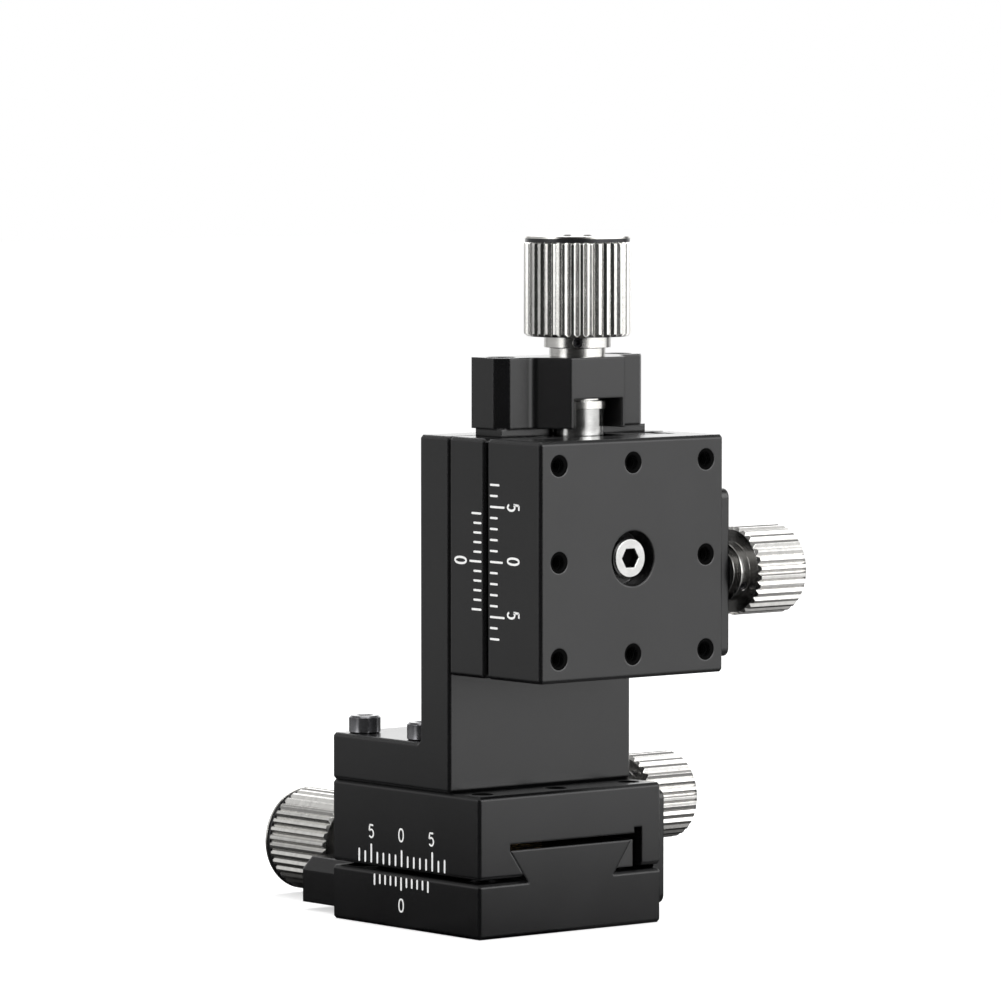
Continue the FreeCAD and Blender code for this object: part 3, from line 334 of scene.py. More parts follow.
# %% [markdown]
# ### Bright nickel and ground steel
#
# The knobs, collars and shafts are bare bright metal, so nearly all that shows on them is the
# room. What makes them metal and not chrome paint is the lathe's rings, which smear the
# reflection across their own direction. The rings need the axis of the piece, so each turned
# part gets its own copy of the material with its own centre and axis. The feed knobs are plated
# a shade brighter than the clamp knobs, which are gripped more often.


# %% Bright turned metal
def make_turned_metal(name, colour, rough, centre, axis):
    material, tree, shader, place = new_material(name)
    rings = place_group(tree, turned_rings, place, Centre=centre, Axis=axis, Ring_Scale=5200.0)
    grain = place_group(tree, blasted_grain, place, Grain_Scale=9000.0)
    edges = place_group(tree, soft_edges, Radius=0.00012)
    shader.inputs["Metallic"].default_value = 1.0
    darker = tuple(0.86 * c for c in colour)
    toned = mix_colours(tree, remap(tree, rings.outputs["Tone"], 0.35, 0.65, 0.0, 1.0), colour, darker)
    tree.links.new(toned, shader.inputs["Base Color"])
    polished = remap(tree, rings.outputs["Tone"], 0.3, 0.7, rough, rough + 0.06)
    fingered = math_node(tree, "MULTIPLY", grain.outputs["Handling"], 0.05)
    tree.links.new(math_node(tree, "ADD", polished, fingered), shader.inputs["Roughness"])
    normal = bump(tree, rings.outputs["Height"], 0.12, 0.00002, edges.outputs["Normal"])
    tree.links.new(normal, shader.inputs["Normal"])
    return material


def node_centre(node):
    low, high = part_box(node)
    return tuple((a + b) / 2 for a, b in zip(low, high))


NICKEL = {"feed": (0.86, 0.85, 0.82), "clamp": (0.70, 0.69, 0.67)}
STEEL = (0.62, 0.62, 0.61)
turned_materials = {}
for prefix, stage_axis in (("x", (1, 0, 0)), ("z", (0, 0, 1))):
    for piece, axis in (("feed_knob", stage_axis), ("clamp_knob", (0, 1, 0))):
        centre = node_centre(f"{prefix}_{piece}")
        family = piece.split("_")[0]
        turned_materials[prefix, family, "nickel"] = make_turned_metal(
            f"{prefix} {family} nickel plate", NICKEL[family], 0.17, centre, axis)
        turned_materials[prefix, family, "steel"] = make_turned_metal(
            f"{prefix} {family} ground steel", STEEL, 0.15, centre, axis)
print("turned materials", len(turned_materials))

# %% [markdown]
# ### Black oxide, brass and screw steel
#
# Alloy steel screws are blackened in a hot salt bath. The skin is thin and slightly blue-grey
# where it is rubbed, with a soft oily gloss. The foot's screws shine through it more, like metal,
# so they show a bright panel on one side and the black leg on the other. The nut inside is brass,
# dull with old oil. The screw in the table's middle is bare bright steel.


# %% Screw and nut metals
def make_plain_metal(name, colour, worn_colour, rough, metallic):
    material, tree, shader, place = new_material(name)
    grain = place_group(tree, blasted_grain, place, Grain_Scale=7000.0)
    edges = place_group(tree, soft_edges, Radius=0.0001)
    shader.inputs["Metallic"].default_value = metallic
    clouded = mix_colours(tree, grain.outputs["Cloud"], colour, tuple(0.8 * c for c in colour))
    tree.links.new(mix_colours(tree, edges.outputs["Edge"], clouded, worn_colour),
                   shader.inputs["Base Color"])
    tree.links.new(remap(tree, grain.outputs["Handling"], 0.0, 1.0, rough, rough + 0.12),
                   shader.inputs["Roughness"])
    tree.links.new(bump(tree, grain.outputs["Height"], 0.12, 0.00002, edges.outputs["Normal"]),
                   shader.inputs["Normal"])
    return material


black_oxide = make_plain_metal("black oxide", (0.020, 0.020, 0.022), (0.09, 0.09, 0.10), 0.28, 0.35)
oiled_oxide = make_plain_metal("oiled black oxide", (0.20, 0.20, 0.21), (0.28, 0.28, 0.29), 0.20, 0.8)
brass = make_plain_metal("nut brass", (0.30, 0.21, 0.10), (0.42, 0.32, 0.16), 0.42, 1.0)
screw_steel = make_plain_metal("bright screw steel", (0.72, 0.72, 0.71), (0.85, 0.85, 0.84), 0.20, 1.0)
print("materials", black_oxide.name, oiled_oxide.name, brass.name, screw_steel.name)

# %% [markdown]
# ### The filled marks
#
# The scale is cut into the black skin and filled with white. The fill is matt and not quite
# even, with a slightly soft and grainy tone.


# %% Scale fill
def make_scale_fill():
    material, tree, shader, place = new_material("scale fill")
    grain = place_group(tree, blasted_grain, place, Grain_Scale=9000.0)
    tree.links.new(mix_colours(tree, grain.outputs["Cloud"], (0.98, 0.98, 0.97), (0.93, 0.93, 0.92)),
                   shader.inputs["Base Color"])
    tree.links.new(remap(tree, grain.outputs["Handling"], 0.0, 1.0, 0.55, 0.7),
                   shader.inputs["Roughness"])
    tree.links.new(bump(tree, grain.outputs["Height"], 0.2, 0.00002), shader.inputs["Normal"])
    return material


scale_fill = make_scale_fill()
print("material", scale_fill.name)

# %% [markdown]
# ## Dress the solids
#
# Every CAD node keeps its mesh and gets one of these finishes. The table below names them by
# what the piece is, and the loop runs over both stages.

# %% Give each solid its finish
FINISH_OF = {
    "base": black_anodised, "carriage": black_anodised, "gib": gib_metal, "gib_screws": black_oxide,
    "feed_bracket": black_anodised, "bracket_screws": black_oxide, "feed_bush": ("feed", "nickel"),
    "feed_screw": ("feed", "steel"), "thrust_collar": ("feed", "nickel"),
    "feed_knob": ("feed", "nickel"), "feed_knob_set_screw": black_oxide, "feed_nut": brass,
    "nut_screw": screw_steel, "clamp_plate": black_anodised, "clamp_plate_screws": black_oxide,
    "clamp_stud": ("clamp", "steel"), "clamp_washer": ("clamp", "nickel"),
    "clamp_knob": ("clamp", "nickel"), "clamp_knob_set_screw": black_oxide,
}


def dress(node, material):
    mesh = nodes[node].data
    mesh.materials.clear()
    mesh.materials.append(material)


for prefix in STAGES:
    for piece, finish in FINISH_OF.items():
        material = turned_materials[(prefix, *finish)] if isinstance(finish, tuple) else finish
        dress(f"{prefix}_{piece}", material)
dress("z_mount_bracket", black_anodised)
dress("foot_screws", black_oxide)
dress("z_mount_screws", black_oxide)
bare = [name for name, node in nodes.items() if not node.data.materials]
print("dressed", len(nodes), "bare", bare)

# %% [markdown]
# ## New pieces
#
# A new piece is a mesh built in code, in the row's frame, with its material and the body that it
# rides on.


# %% Make a piece from vertices and faces
def add_piece(name, vertices, faces, material, body, slot, smooth_angle=30.0):
    mesh = bpy.data.meshes.new(name)
    mesh.from_pydata([tuple(v) for v in vertices], [], faces)
    mesh.validate()
    mesh.materials.append(material)
    piece = bpy.data.objects.new(name, mesh)
    bpy.context.scene.collection.objects.link(piece)
    mesh.shade_smooth()
    mesh.set_sharp_from_angle(angle=math.radians(smooth_angle))
    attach(piece, body)
    return piece


def gather(parts):
    """Joins (vertices, faces) lists into one list of each."""
    vertices, faces = [], []
    for some_vertices, some_faces in parts:
        start = len(vertices)
        vertices += some_vertices
        faces += [tuple(start + i for i in face) for face in some_faces]
    return vertices, faces


# %% [markdown]
# ### The scales
#
# The table carries marks from -7 to +7 with the numbers 5, 0, 5, and the base a vernier of
# eleven marks with one 0. On the real stage they are shallow cuts filled with white. Here each
# mark is a thin strip with round ends that stands a hundredth of a millimetre off the face,
# enough to show and too little to cast a shadow. The places are given on the flat stage and are
# turned with it, so the upright scale reads from top to bottom.


# %% One mark as a strip with round ends
MARK_LIFT = 0.012
END_STEPS = 5


def mark_strip(x, start, end, width):
    """Outline of a mark on the side face, from z = start to z = end at the place x."""
    half = width / 2
    low, high = min(start, end) + half, max(start, end) - half
    points = []
    for i in range(END_STEPS + 1):
        angle = math.pi * i / END_STEPS
        points.append((x + half * math.cos(angle), high + half * math.sin(angle)))
    for i in range(END_STEPS + 1):
        angle = math.pi + math.pi * i / END_STEPS
        points.append((x + half * math.cos(angle), low + half * math.sin(angle)))
    return raised(points)


def raised(points):
    """A thin solid on the side face from an outline of (x, z)."""
    count = len(points)
    outer = [Vector((x, SIDE_FACE - MARK_LIFT, z)) for x, z in points]
    inner = [Vector((x, SIDE_FACE + MARK_LIFT, z)) for x, z in points]
    faces = [tuple(range(count)), tuple(reversed(range(count, 2 * count)))]
    for i in range(count):
        after = (i + 1) % count
        faces.append((after, i, count + i, count + after))
    return outer + inner, faces


def on_stage(prefix, parts):
    """Vertices and faces of flat-stage parts, in metres in the row's frame."""
    vertices, faces = gather(parts)
    place = STAGES[prefix]["place"]
    return [place @ (v * MM) for v in vertices], faces


# %% [markdown]
# Places and lengths below are millimetres on the flat stage, as the photograph shows them. The
# longer marks stand at 0, 5 and 7. A vernier's pitch is a little shorter than its scale's, which
# is what lets it read parts of a division. The figure entry is a number's width, height and stroke.

# %% The measured scales
SCALES = {
    "x": {"middle": -0.83, "pitch": 1.66, "vernier_middle": -0.98, "vernier_pitch": 1.454,
          "main_start": 10.5, "vernier_top": 8.75, "width": 0.42,
          "lengths": {5: 3.3, 0: 2.9, 7: 2.3}, "plain": 2.0,
          "vernier_lengths": {0: 2.3, 5: 2.0}, "plain_vernier": 1.7,
          "five": 8.17, "number_middle": -0.97, "number_height": 15.9, "zero_height": 3.94,
          "figure": (1.5, 2.4, 0.30)},
    "z": {"middle": 0.38, "pitch": 1.832, "vernier_middle": 0.5, "vernier_pitch": 1.604,
          "main_start": 10.85, "vernier_top": 8.6, "width": 0.36,
          "lengths": {5: 3.85, 0: 3.4, 7: 2.5}, "plain": 2.05,
          "vernier_lengths": {0: 3.15, 5: 2.6}, "plain_vernier": 2.1,
          "five": 8.93, "number_middle": 0.03, "number_height": 16.95, "zero_height": 3.1,
          "figure": (1.4, 3.3, 0.38)},
}
WHOLE, VERNIER_HALF = 7, 5

for prefix, scale in SCALES.items():
    main_marks = []
    for n in range(-WHOLE, WHOLE + 1):
        length = scale["lengths"].get(abs(n), scale["plain"])
        main_marks.append(mark_strip(scale["middle"] + n * scale["pitch"], scale["main_start"],
                                     scale["main_start"] + length, scale["width"]))
    vernier_marks = []
    for n in range(-VERNIER_HALF, VERNIER_HALF + 1):
        length = scale["vernier_lengths"].get(abs(n), scale["plain_vernier"])
        top = scale["vernier_top"]
        vernier_marks.append(mark_strip(scale["vernier_middle"] + n * scale["vernier_pitch"],
                                        top - length, top, scale["width"]))
    stage = STAGES[prefix]
    add_piece(f"{prefix}_scale_marks", *on_stage(prefix, main_marks), scale_fill, stage["table"],
              "black_anodised")
    add_piece(f"{prefix}_vernier_marks", *on_stage(prefix, vernier_marks), scale_fill, stage["base"],
              "black_anodised")
    print(prefix, "scale:", len(main_marks), "marks, vernier:", len(vernier_marks))

# %% [markdown]
# ### The numbers
#
# Only two figures are needed, 5 and 0. A font would do, but the engraver's figures are tall and
# narrow with one stroke width, so each is drawn as a path that a round cutter would follow: the 0
# is a long ring, and the 5 a flag, a stem and a bowl. The stroke is then widened to both sides.


# %% Engraved figures
ZERO_STEPS, ZERO_SQUARENESS = 28, 0.8
BOWL_STEPS, BOWL_FROM, BOWL_SWEEP = 18, 140, 285


def stroke_outline(path, stroke, closed=False):
    """Quads along a path of (x, z), half a stroke to each side, as thin solids."""
    parts = []
    count = len(path)
    sides = []
    for i in range(count):
        if closed:
            before, after = path[i - 1], path[(i + 1) % count]
        else:
            before, after = path[max(i - 1, 0)], path[min(i + 1, count - 1)]
        along = Vector((after[0] - before[0], after[1] - before[1])).normalized()
        across = Vector((-along.y, along.x)) * stroke / 2
        here = Vector(path[i])
        sides.append((here + across, here - across))
    steps = count if closed else count - 1
    for i in range(steps):
        first, second = sides[i], sides[(i + 1) % count]
        parts.append(raised([tuple(first[0]), tuple(first[1]), tuple(second[1]), tuple(second[0])]))
    return parts


def figure_zero(x, z, size):
    width, height, stroke = size
    ring = []
    for i in range(ZERO_STEPS):
        angle = 2 * math.pi * i / ZERO_STEPS
        wide = math.copysign(abs(math.cos(angle)) ** ZERO_SQUARENESS, math.cos(angle))
        ring.append((x + wide * (width - stroke) / 2, z + math.sin(angle) * (height - stroke) / 2))
    return stroke_outline(ring, stroke, closed=True)


def figure_five(x, z, size):
    width, height, stroke = size
    half_width, half_height = (width - stroke) / 2, (height - stroke) / 2
    bowl_middle = z - half_height * 0.36
    bowl_height = half_height * 0.64
    flag = [(x + half_width * 0.85, z + half_height), (x - half_width * 0.75, z + half_height)]
    stem = [(x - half_width * 0.70, z + half_height), (x - half_width * 0.92, z + half_height * 0.05)]
    bowl = []
    for i in range(BOWL_STEPS + 1):
        angle = math.radians(BOWL_FROM - BOWL_SWEEP * i / BOWL_STEPS)
        bowl.append((x + half_width * math.cos(angle), bowl_middle + bowl_height * math.sin(angle)))
    return stroke_outline(flag, stroke) + stroke_outline(stem, stroke) + stroke_outline(bowl, stroke)


for prefix, scale in SCALES.items():
    height, size, number_middle = scale["number_height"], scale["figure"], scale["number_middle"]
    table_figures = (figure_five(number_middle - scale["five"], height, size)
                     + figure_zero(number_middle, height, size)
                     + figure_five(number_middle + scale["five"], height, size))
    base_figures = figure_zero(scale["vernier_middle"], scale["zero_height"], size)
    stage = STAGES[prefix]
    add_piece(f"{prefix}_scale_figures", *on_stage(prefix, table_figures), scale_fill,
              stage["table"], "black_anodised")
    add_piece(f"{prefix}_vernier_zero", *on_stage(prefix, base_figures), scale_fill,
              stage["base"], "black_anodised")
    print(prefix, "figures of", size[1], "mm")

# %% [markdown]
# ### Threads in the tapped holes
#
# The solids have plain drilled holes. A tapped hole shows the crests of its thread, a helix with
# a pitch of half a millimetre for M3. It is modelled as a ridge that winds down the wall: a
# three-sided section, swept by stepping the angle and the depth together. It starts one pitch
# below the mouth, under the countersink. The thread and a thin cone that lines the countersink
# are near black, much darker than the face round them: painted shade.


# %% A thread ridge in a hole
THREAD_PITCH = 0.5
THREAD_WALL = 1.27
THREAD_CREST = 1.10
STEPS_PER_TURN = 20


def thread_ridge(mouth, depth):
    """A helix of ridge round +Z below a mouth at (x, y, z), in millimetres."""
    turns = depth / THREAD_PITCH
    steps = int(turns * STEPS_PER_TURN)
    vertices, faces = [], []
    for i in range(steps + 1):
        angle = 2 * math.pi * i / STEPS_PER_TURN
        drop = THREAD_PITCH * i / STEPS_PER_TURN
        grow = min(1.0, i / STEPS_PER_TURN, (steps - i) / STEPS_PER_TURN)
        crest = THREAD_WALL + (THREAD_CREST - THREAD_WALL) * grow
        for radius, rise in ((THREAD_WALL, 0.45), (crest, 0.0), (THREAD_WALL, -0.45)):
            vertices.append(Vector((mouth[0] + radius * math.cos(angle),
                                    mouth[1] + radius * math.sin(angle),
                                    mouth[2] - drop + rise * THREAD_PITCH)))
    for i in range(steps):
        a, b = 3 * i, 3 * (i + 1)
        faces += [(a, b, b + 1, a + 1), (a + 1, b + 1, b + 2, a + 2), (a + 2, b + 2, b, a)]
    last = 3 * steps
    faces += [(0, 1, 2), (last + 2, last + 1, last)]
    return vertices, faces


def round_band(profile, corners):
    """A closed ring round +Z. The profile is (radius, height), outer side first and downwards."""
    vertices = []
    for radius, height in profile:
        for i in range(corners):
            angle = 2 * math.pi * i / corners
            vertices.append(Vector((radius * math.cos(angle), radius * math.sin(angle), height)))
    faces = []
    for ring in range(len(profile)):
        a, b = ring * corners, (ring + 1) % len(profile) * corners
        for i in range(corners):
            after = (i + 1) % corners
            faces.append((a + i, b + i, b + after, a + after))
    return vertices, faces


def set_down(parts, places, turn=Matrix.Identity(4)):
    """Copies of a part at several places on the flat stage."""
    vertices, faces = parts
    copies = []
    for place in places:
        moved = Matrix.Translation(place) @ turn
        copies.append(([moved @ v for v in vertices], faces))
    return copies


TAP_DEPTH = 5.6
MOUTH_DROP = 0.75
MOUTH_TOP = 1.82
MOUTH_ROOT = 1.24
MOUTH_DEPTH = 0.35
MOUTH_CORNERS = 40
LINING = 0.04
UNDER_FACE = -0.01
# The lead-in cone is painted shade: a dark lining just under the countersink's face.
lead_in = round_band([(MOUTH_TOP, UNDER_FACE), (MOUTH_ROOT, -MOUTH_DEPTH),
                      (MOUTH_ROOT - LINING, -MOUTH_DEPTH), (MOUTH_TOP - LINING, UNDER_FACE)],
                     MOUTH_CORNERS)
RING = [(i * HOLE, j * HOLE) for i in (-1, 0, 1) for j in (-1, 0, 1) if (i, j) != (0, 0)]
FREE_HOLES = {"x": [place for place in RING if place[0] == HOLE], "z": RING}
for prefix, holes in FREE_HOLES.items():
    ridges = [thread_ridge((x, y, TABLE_TOP - MOUTH_DROP), TAP_DEPTH - MOUTH_DROP) for x, y in holes]
    cones = set_down(lead_in, [(x, y, TABLE_TOP) for x, y in holes])
    # Threads and cones take the hole shade, painted shade that keeps the holes near black.
    add_piece(f"{prefix}_table_threads", *on_stage(prefix, ridges + cones), hole_shade,
              STAGES[prefix]["table"], "black_anodised")
    print(prefix, "threaded holes", len(holes))

# %% [markdown]
# ### Socket screws
#
# The cap screws' heads have straight serrations for the fingers, a chamfer and a hexagon
# socket with a drilled bottom. All of it is one surface that runs from ring to ring: each ring
# has the same number of corners, so the serrated rim, the round chamfer and the hexagon join
# with plain quads. A hexagon's radius at an angle is its half width divided by the cosine of the
# angle from the middle of its side. The screw in each table's middle is an M4 with a low head, and
# a thin dark lining in its socket is painted shade.


# %% Rings of a screw
RIM_CORNERS = 72
SHARP_FROM = 28.0


def ring_of(radius_at, along):
    """A ring of corners round +Z at the height along. radius_at gives the radius for an angle."""
    ring = []
    for i in range(RIM_CORNERS):
        angle = 2 * math.pi * i / RIM_CORNERS
        radius = radius_at(i, angle)
        ring.append(Vector((radius * math.cos(angle), radius * math.sin(angle), along)))
    return ring


def round_at(radius):
    return lambda i, angle: radius


def serrated_at(radius, depth):
    return lambda i, angle: radius - depth * (i % 2)


def hexagon_at(flats):
    side = math.pi / 3
    return lambda i, angle: flats / 2 / math.cos(angle % side - side / 2)


def lathe(rings):
    """Quads from ring to ring, closed by a fan at each end."""
    vertices = [v for ring in rings for v in ring]
    faces = []
    for k in range(len(rings) - 1):
        a, b = k * RIM_CORNERS, (k + 1) * RIM_CORNERS
        for i in range(RIM_CORNERS):
            after = (i + 1) % RIM_CORNERS
            faces.append((a + i, a + after, b + after, b + i))
    top = (len(rings) - 1) * RIM_CORNERS
    faces.append(tuple(reversed(range(RIM_CORNERS))))
    faces.append(tuple(range(top, top + RIM_CORNERS)))
    return vertices, faces


def cap_screw(head, height, flats, shank, length, serration=0.07):
    """A socket cap screw along -Z with its seat at the origin, in millimetres."""
    point, chamfer, mouth, drill_tip = 0.3, 0.35, 0.12, 0.45
    socket = height * 0.5
    return lathe([
        ring_of(round_at(shank - point), -length),
        ring_of(round_at(shank), point - length),
        ring_of(round_at(shank), 0.0),
        ring_of(round_at(head - 0.25), 0.0),
        ring_of(serrated_at(head, 0.0), 0.2),
        ring_of(serrated_at(head, serration), 0.35),
        ring_of(serrated_at(head, serration), height - chamfer - 0.15),
        ring_of(round_at(head - 0.02), height - chamfer),
        ring_of(round_at(head - chamfer), height),
        ring_of(hexagon_at(flats + 0.25), height),
        ring_of(hexagon_at(flats), height - mouth),
        ring_of(hexagon_at(flats), height - socket),
        ring_of(round_at(flats * 0.30), height - socket),
        ring_of(round_at(0.1), height - socket - drill_tip),
    ])


# %% [markdown]
# The four screws on the foot stand proud of it, and the near ones show well. Each new set
# replaces its plain CAD node, which stays in the part for collision.

# %% Screws on the foot and in the tables
foot_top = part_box("foot_screws")[1][2] / MM - 3.0
foot_screw = cap_screw(head=2.72, height=3.0, flats=2.5, shank=1.21, length=11.9)
foot_places = [(x, y, foot_top) for x in (-HOLE, 0) for y in (-HOLE, HOLE)]
foot_piece = add_piece("foot_cap_screws", *on_stage("x", set_down(foot_screw, foot_places)),
                       oiled_oxide, "lower_table", "black_oxide", SHARP_FROM)
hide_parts("foot_screws")

NUT_SEAT = TABLE_TOP - 3.7
NUT_FLATS = 3.0
CORNERS_ACROSS = Matrix.Rotation(math.pi / 6, 4, "Z")
SOCKET_BOTTOM, SHADE_TOP = 1.5, 2.86
SHADE_WALL = 0.06
nut_screw = cap_screw(head=3.48, height=3.0, flats=NUT_FLATS, shank=1.62, length=6.9,
                      serration=0.05)
# Painted shade: a thin near-black lining inside the socket of the bright steel screw.
socket_shade = lathe([
    ring_of(hexagon_at(NUT_FLATS + SHADE_WALL), SOCKET_BOTTOM - SHADE_WALL / 2),
    ring_of(hexagon_at(NUT_FLATS + SHADE_WALL), SHADE_TOP),
    ring_of(hexagon_at(NUT_FLATS - SHADE_WALL), SHADE_TOP),
    ring_of(hexagon_at(NUT_FLATS - SHADE_WALL), SOCKET_BOTTOM + SHADE_WALL / 2),
])
for prefix, stage in STAGES.items():
    here = [(0, 0, NUT_SEAT)]
    screw = on_stage(prefix, set_down(nut_screw, here, CORNERS_ACROSS))
    lining = on_stage(prefix, set_down(socket_shade, here, CORNERS_ACROSS))
    piece = add_piece(f"{prefix}_nut_cap_screw", *screw, screw_steel, stage["table"],
                      "ground_steel", SHARP_FROM)
    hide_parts(f"{prefix}_nut_screw")
    add_piece(f"{prefix}_nut_socket_shade", *lining, hole_shade, stage["table"],
              "ground_steel", SHARP_FROM)

BRACKET_HEAD, BRACKET_HEAD_HEIGHT = 2.25, 2.5
bracket_screw = cap_screw(head=BRACKET_HEAD - 0.03, height=BRACKET_HEAD_HEIGHT, flats=2.0,
                          shank=1.0, length=11.9, serration=0.06)
bracket_low, bracket_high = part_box("x_bracket_screws")
BRACKET_SEAT = bracket_low[0] / MM + BRACKET_HEAD_HEIGHT
BRACKET_Y = (bracket_high[1] - bracket_low[1]) / MM / 2 - BRACKET_HEAD
BRACKET_Z = (bracket_high[2] + bracket_low[2]) / MM / 2
TOWARDS_KNOB = Matrix.Rotation(-math.pi / 2, 4, "Y")
bracket_places = [(BRACKET_SEAT, y, BRACKET_Z) for y in (-BRACKET_Y, BRACKET_Y)]
for prefix, stage in STAGES.items():
    parts = set_down(bracket_screw, bracket_places, TOWARDS_KNOB)
    piece = add_piece(f"{prefix}_bracket_cap_screws", *on_stage(prefix, parts), black_oxide,
                      stage["base"], "black_oxide", SHARP_FROM)
    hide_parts(f"{prefix}_bracket_screws")
print("cap screws:", len(foot_places) + 2 + 2 * len(bracket_places))

# %% [markdown]
# ### The groove behind the knob's rim
#
# A narrow groove parts the feed knob's thin rim from its knurl, and shows as a dark band under
# the bright rim. That band is painted shade: a low dark ring fills the groove's bottom.

# %% Dark ring of painted shade in the rim groove
knob_low, knob_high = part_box("x_feed_knob")
KNOB_RIM, RIM_GROOVE = 0.4, 0.6
GROOVE_ROOT = (knob_high[1] - knob_low[1]) / MM / 2 - 0.45
FEED_AXIS = (knob_high[2] + knob_low[2]) / MM / 2
GROOVE_END = knob_low[0] / MM + KNOB_RIM + RIM_GROOVE
SHADE_RING_TOP, SHADE_RING_ROOT, SIDE_GAP = GROOVE_ROOT + 0.25, GROOVE_ROOT - 0.1, 0.02
# Painted shade: a low dark ring in the groove's bottom, so the groove reads as a dark band.
groove_shade_ring = round_band([(SHADE_RING_TOP, RIM_GROOVE - SIDE_GAP), (SHADE_RING_TOP, SIDE_GAP),
                        (SHADE_RING_ROOT, SIDE_GAP), (SHADE_RING_ROOT, RIM_GROOVE - SIDE_GAP)], RIM_CORNERS)
for prefix, stage in STAGES.items():
    ring = set_down(groove_shade_ring, [(GROOVE_END, 0, FEED_AXIS)], TOWARDS_KNOB)
    add_piece(f"{prefix}_rim_groove_shade", *on_stage(prefix, ring), black_oxide, stage["feed"],
              "nickel_plate")
print("groove root", round(GROOVE_ROOT, 2), "mm from the axis")

# %% [markdown]
# ### Set screws in the hubs
#
# A headless screw with a tiny hexagon socket holds each knob on its shaft, and shows as a dark
# spot on the hub. It is the same ring surface with a hexagon hole in its outer end.


# %% Set screws
SET_RADIUS = 0.78
SET_FLATS = 0.9


def set_screw(inner, outer):
    """A headless screw along +Z from inner to outer."""
    return lathe([
        ring_of(round_at(SET_RADIUS - 0.2), inner), ring_of(round_at(SET_RADIUS), inner + 0.2),
        ring_of(round_at(SET_RADIUS), outer - 0.12), ring_of(round_at(SET_RADIUS - 0.12), outer),
        ring_of(hexagon_at(SET_FLATS + 0.1), outer), ring_of(hexagon_at(SET_FLATS), outer - 0.06),
        ring_of(hexagon_at(SET_FLATS), outer - 0.8), ring_of(round_at(0.1), outer - 1.0),
    ])


def beside_axis(screw, knob, first, second):
    """How far a set screw stands off its knob's axis on two sides, and both middles, in millimetres."""
    here = Vector(node_centre(screw)) / MM
    axis = Vector(node_centre(knob)) / MM
    off = here - axis
    return off[first], off[second], here, axis


SHAFT, STUD = 3.02, 1.52
side, rise, here, axis = beside_axis("x_feed_knob_set_screw", "x_feed_knob", 1, 2)
feed_set_screw = set_screw(SHAFT, 2 * math.hypot(side, rise) - SHAFT)
feed_screw_part = set_down(feed_set_screw, [(here.x, axis.y, axis.z)],
                           Matrix.Rotation(math.atan2(-side, rise), 4, "X"))
side, rise, here, axis = beside_axis("x_clamp_knob_set_screw", "x_clamp_knob", 0, 2)
clamp_set_screw = set_screw(STUD, 2 * math.hypot(side, rise) - STUD)
clamp_screw_part = set_down(clamp_set_screw, [(axis.x, here.y, axis.z)],
                            Matrix.Rotation(math.atan2(side, rise), 4, "Y"))
for prefix, stage in STAGES.items():
    piece = add_piece(f"{prefix}_feed_socket_screw", *on_stage(prefix, feed_screw_part), black_oxide,
                      stage["feed"], "black_oxide")
    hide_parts(f"{prefix}_feed_knob_set_screw")
    piece = add_piece(f"{prefix}_clamp_socket_screw", *on_stage(prefix, clamp_screw_part), black_oxide,
                      stage["clamp"], "black_oxide")
    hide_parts(f"{prefix}_clamp_knob_set_screw")
print("set screws: 4")

# %% [markdown]
# ## The room that metal sees
#
# Bright metal and satin black show the room more than their own colour, and a room that is white
# all round makes metal look like plaster. A photographer sets white panels round the product and
# leaves dark gaps between them. The room here has a broad bright side to the right, another one
# behind, a weak one to the left, one narrow strip beside the camera, and is dark behind the
# camera. One group gives that brightness for a level direction, so that the sky and the floor
# agree on it. Each panel is a soft step of the cosine between the direction and its middle.


# %% Panels round the product
PANELS = [
    # middle in degrees from +X, half width when bright, half width with its edge, brightness
    (39.0, 26.0, 47.0, 2.9),
    (141.0, 22.0, 48.0, 1.9),
    (-141.0, 20.0, 46.0, 0.66),
    (-97.0, 5.0, 12.0, 1.5),
]


def make_studio_panels():
    group, given, result = new_group(
        "studio panels",
        [("Vector", "Vector", None), ("Gap", "Float", 0.025)],
        [("Brightness", "Float")])
    flat = vector_node(group, "MULTIPLY", given.outputs["Vector"], (1.0, 1.0, 0.0))
    level = vector_node(group, "NORMALIZE", flat)
    total = given.outputs["Gap"]
    for middle_turn, inner, outer, brightness in PANELS:
        turn = math.radians(middle_turn)
        cosine = vector_node(group, "DOT_PRODUCT", level, (math.cos(turn), math.sin(turn), 0.0))
        panel = remap(group, cosine, math.cos(math.radians(outer)), math.cos(math.radians(inner)),
                      0.0, brightness)
        total = math_node(group, "MAXIMUM", total, panel)
    group.links.new(total, result.inputs["Brightness"])
    return group


studio_panels = make_studio_panels()
print("group", studio_panels.name, len(PANELS), "panels")

# %% [markdown]
# ## Floor
#
# The product stands on a plain white sheet that runs on to the horizon. Under soft light a white
# floor renders a little grey, so its material adds a little light of its own where the camera
# looks at it. The shadow stays, because it takes light away from the lit part. In a reflection
# the floor shows painted light, as bright as the panels stand round it, and painted shadow close to the
# product.


# %% Floor
FLOOR_HALF = 4.0
FLOOR_DROP = 0.00005
FLOOR_GLOW = 0.56
NEAR, FAR, NEAR_SHADOW_LEVEL = 0.08, 0.50, 0.06


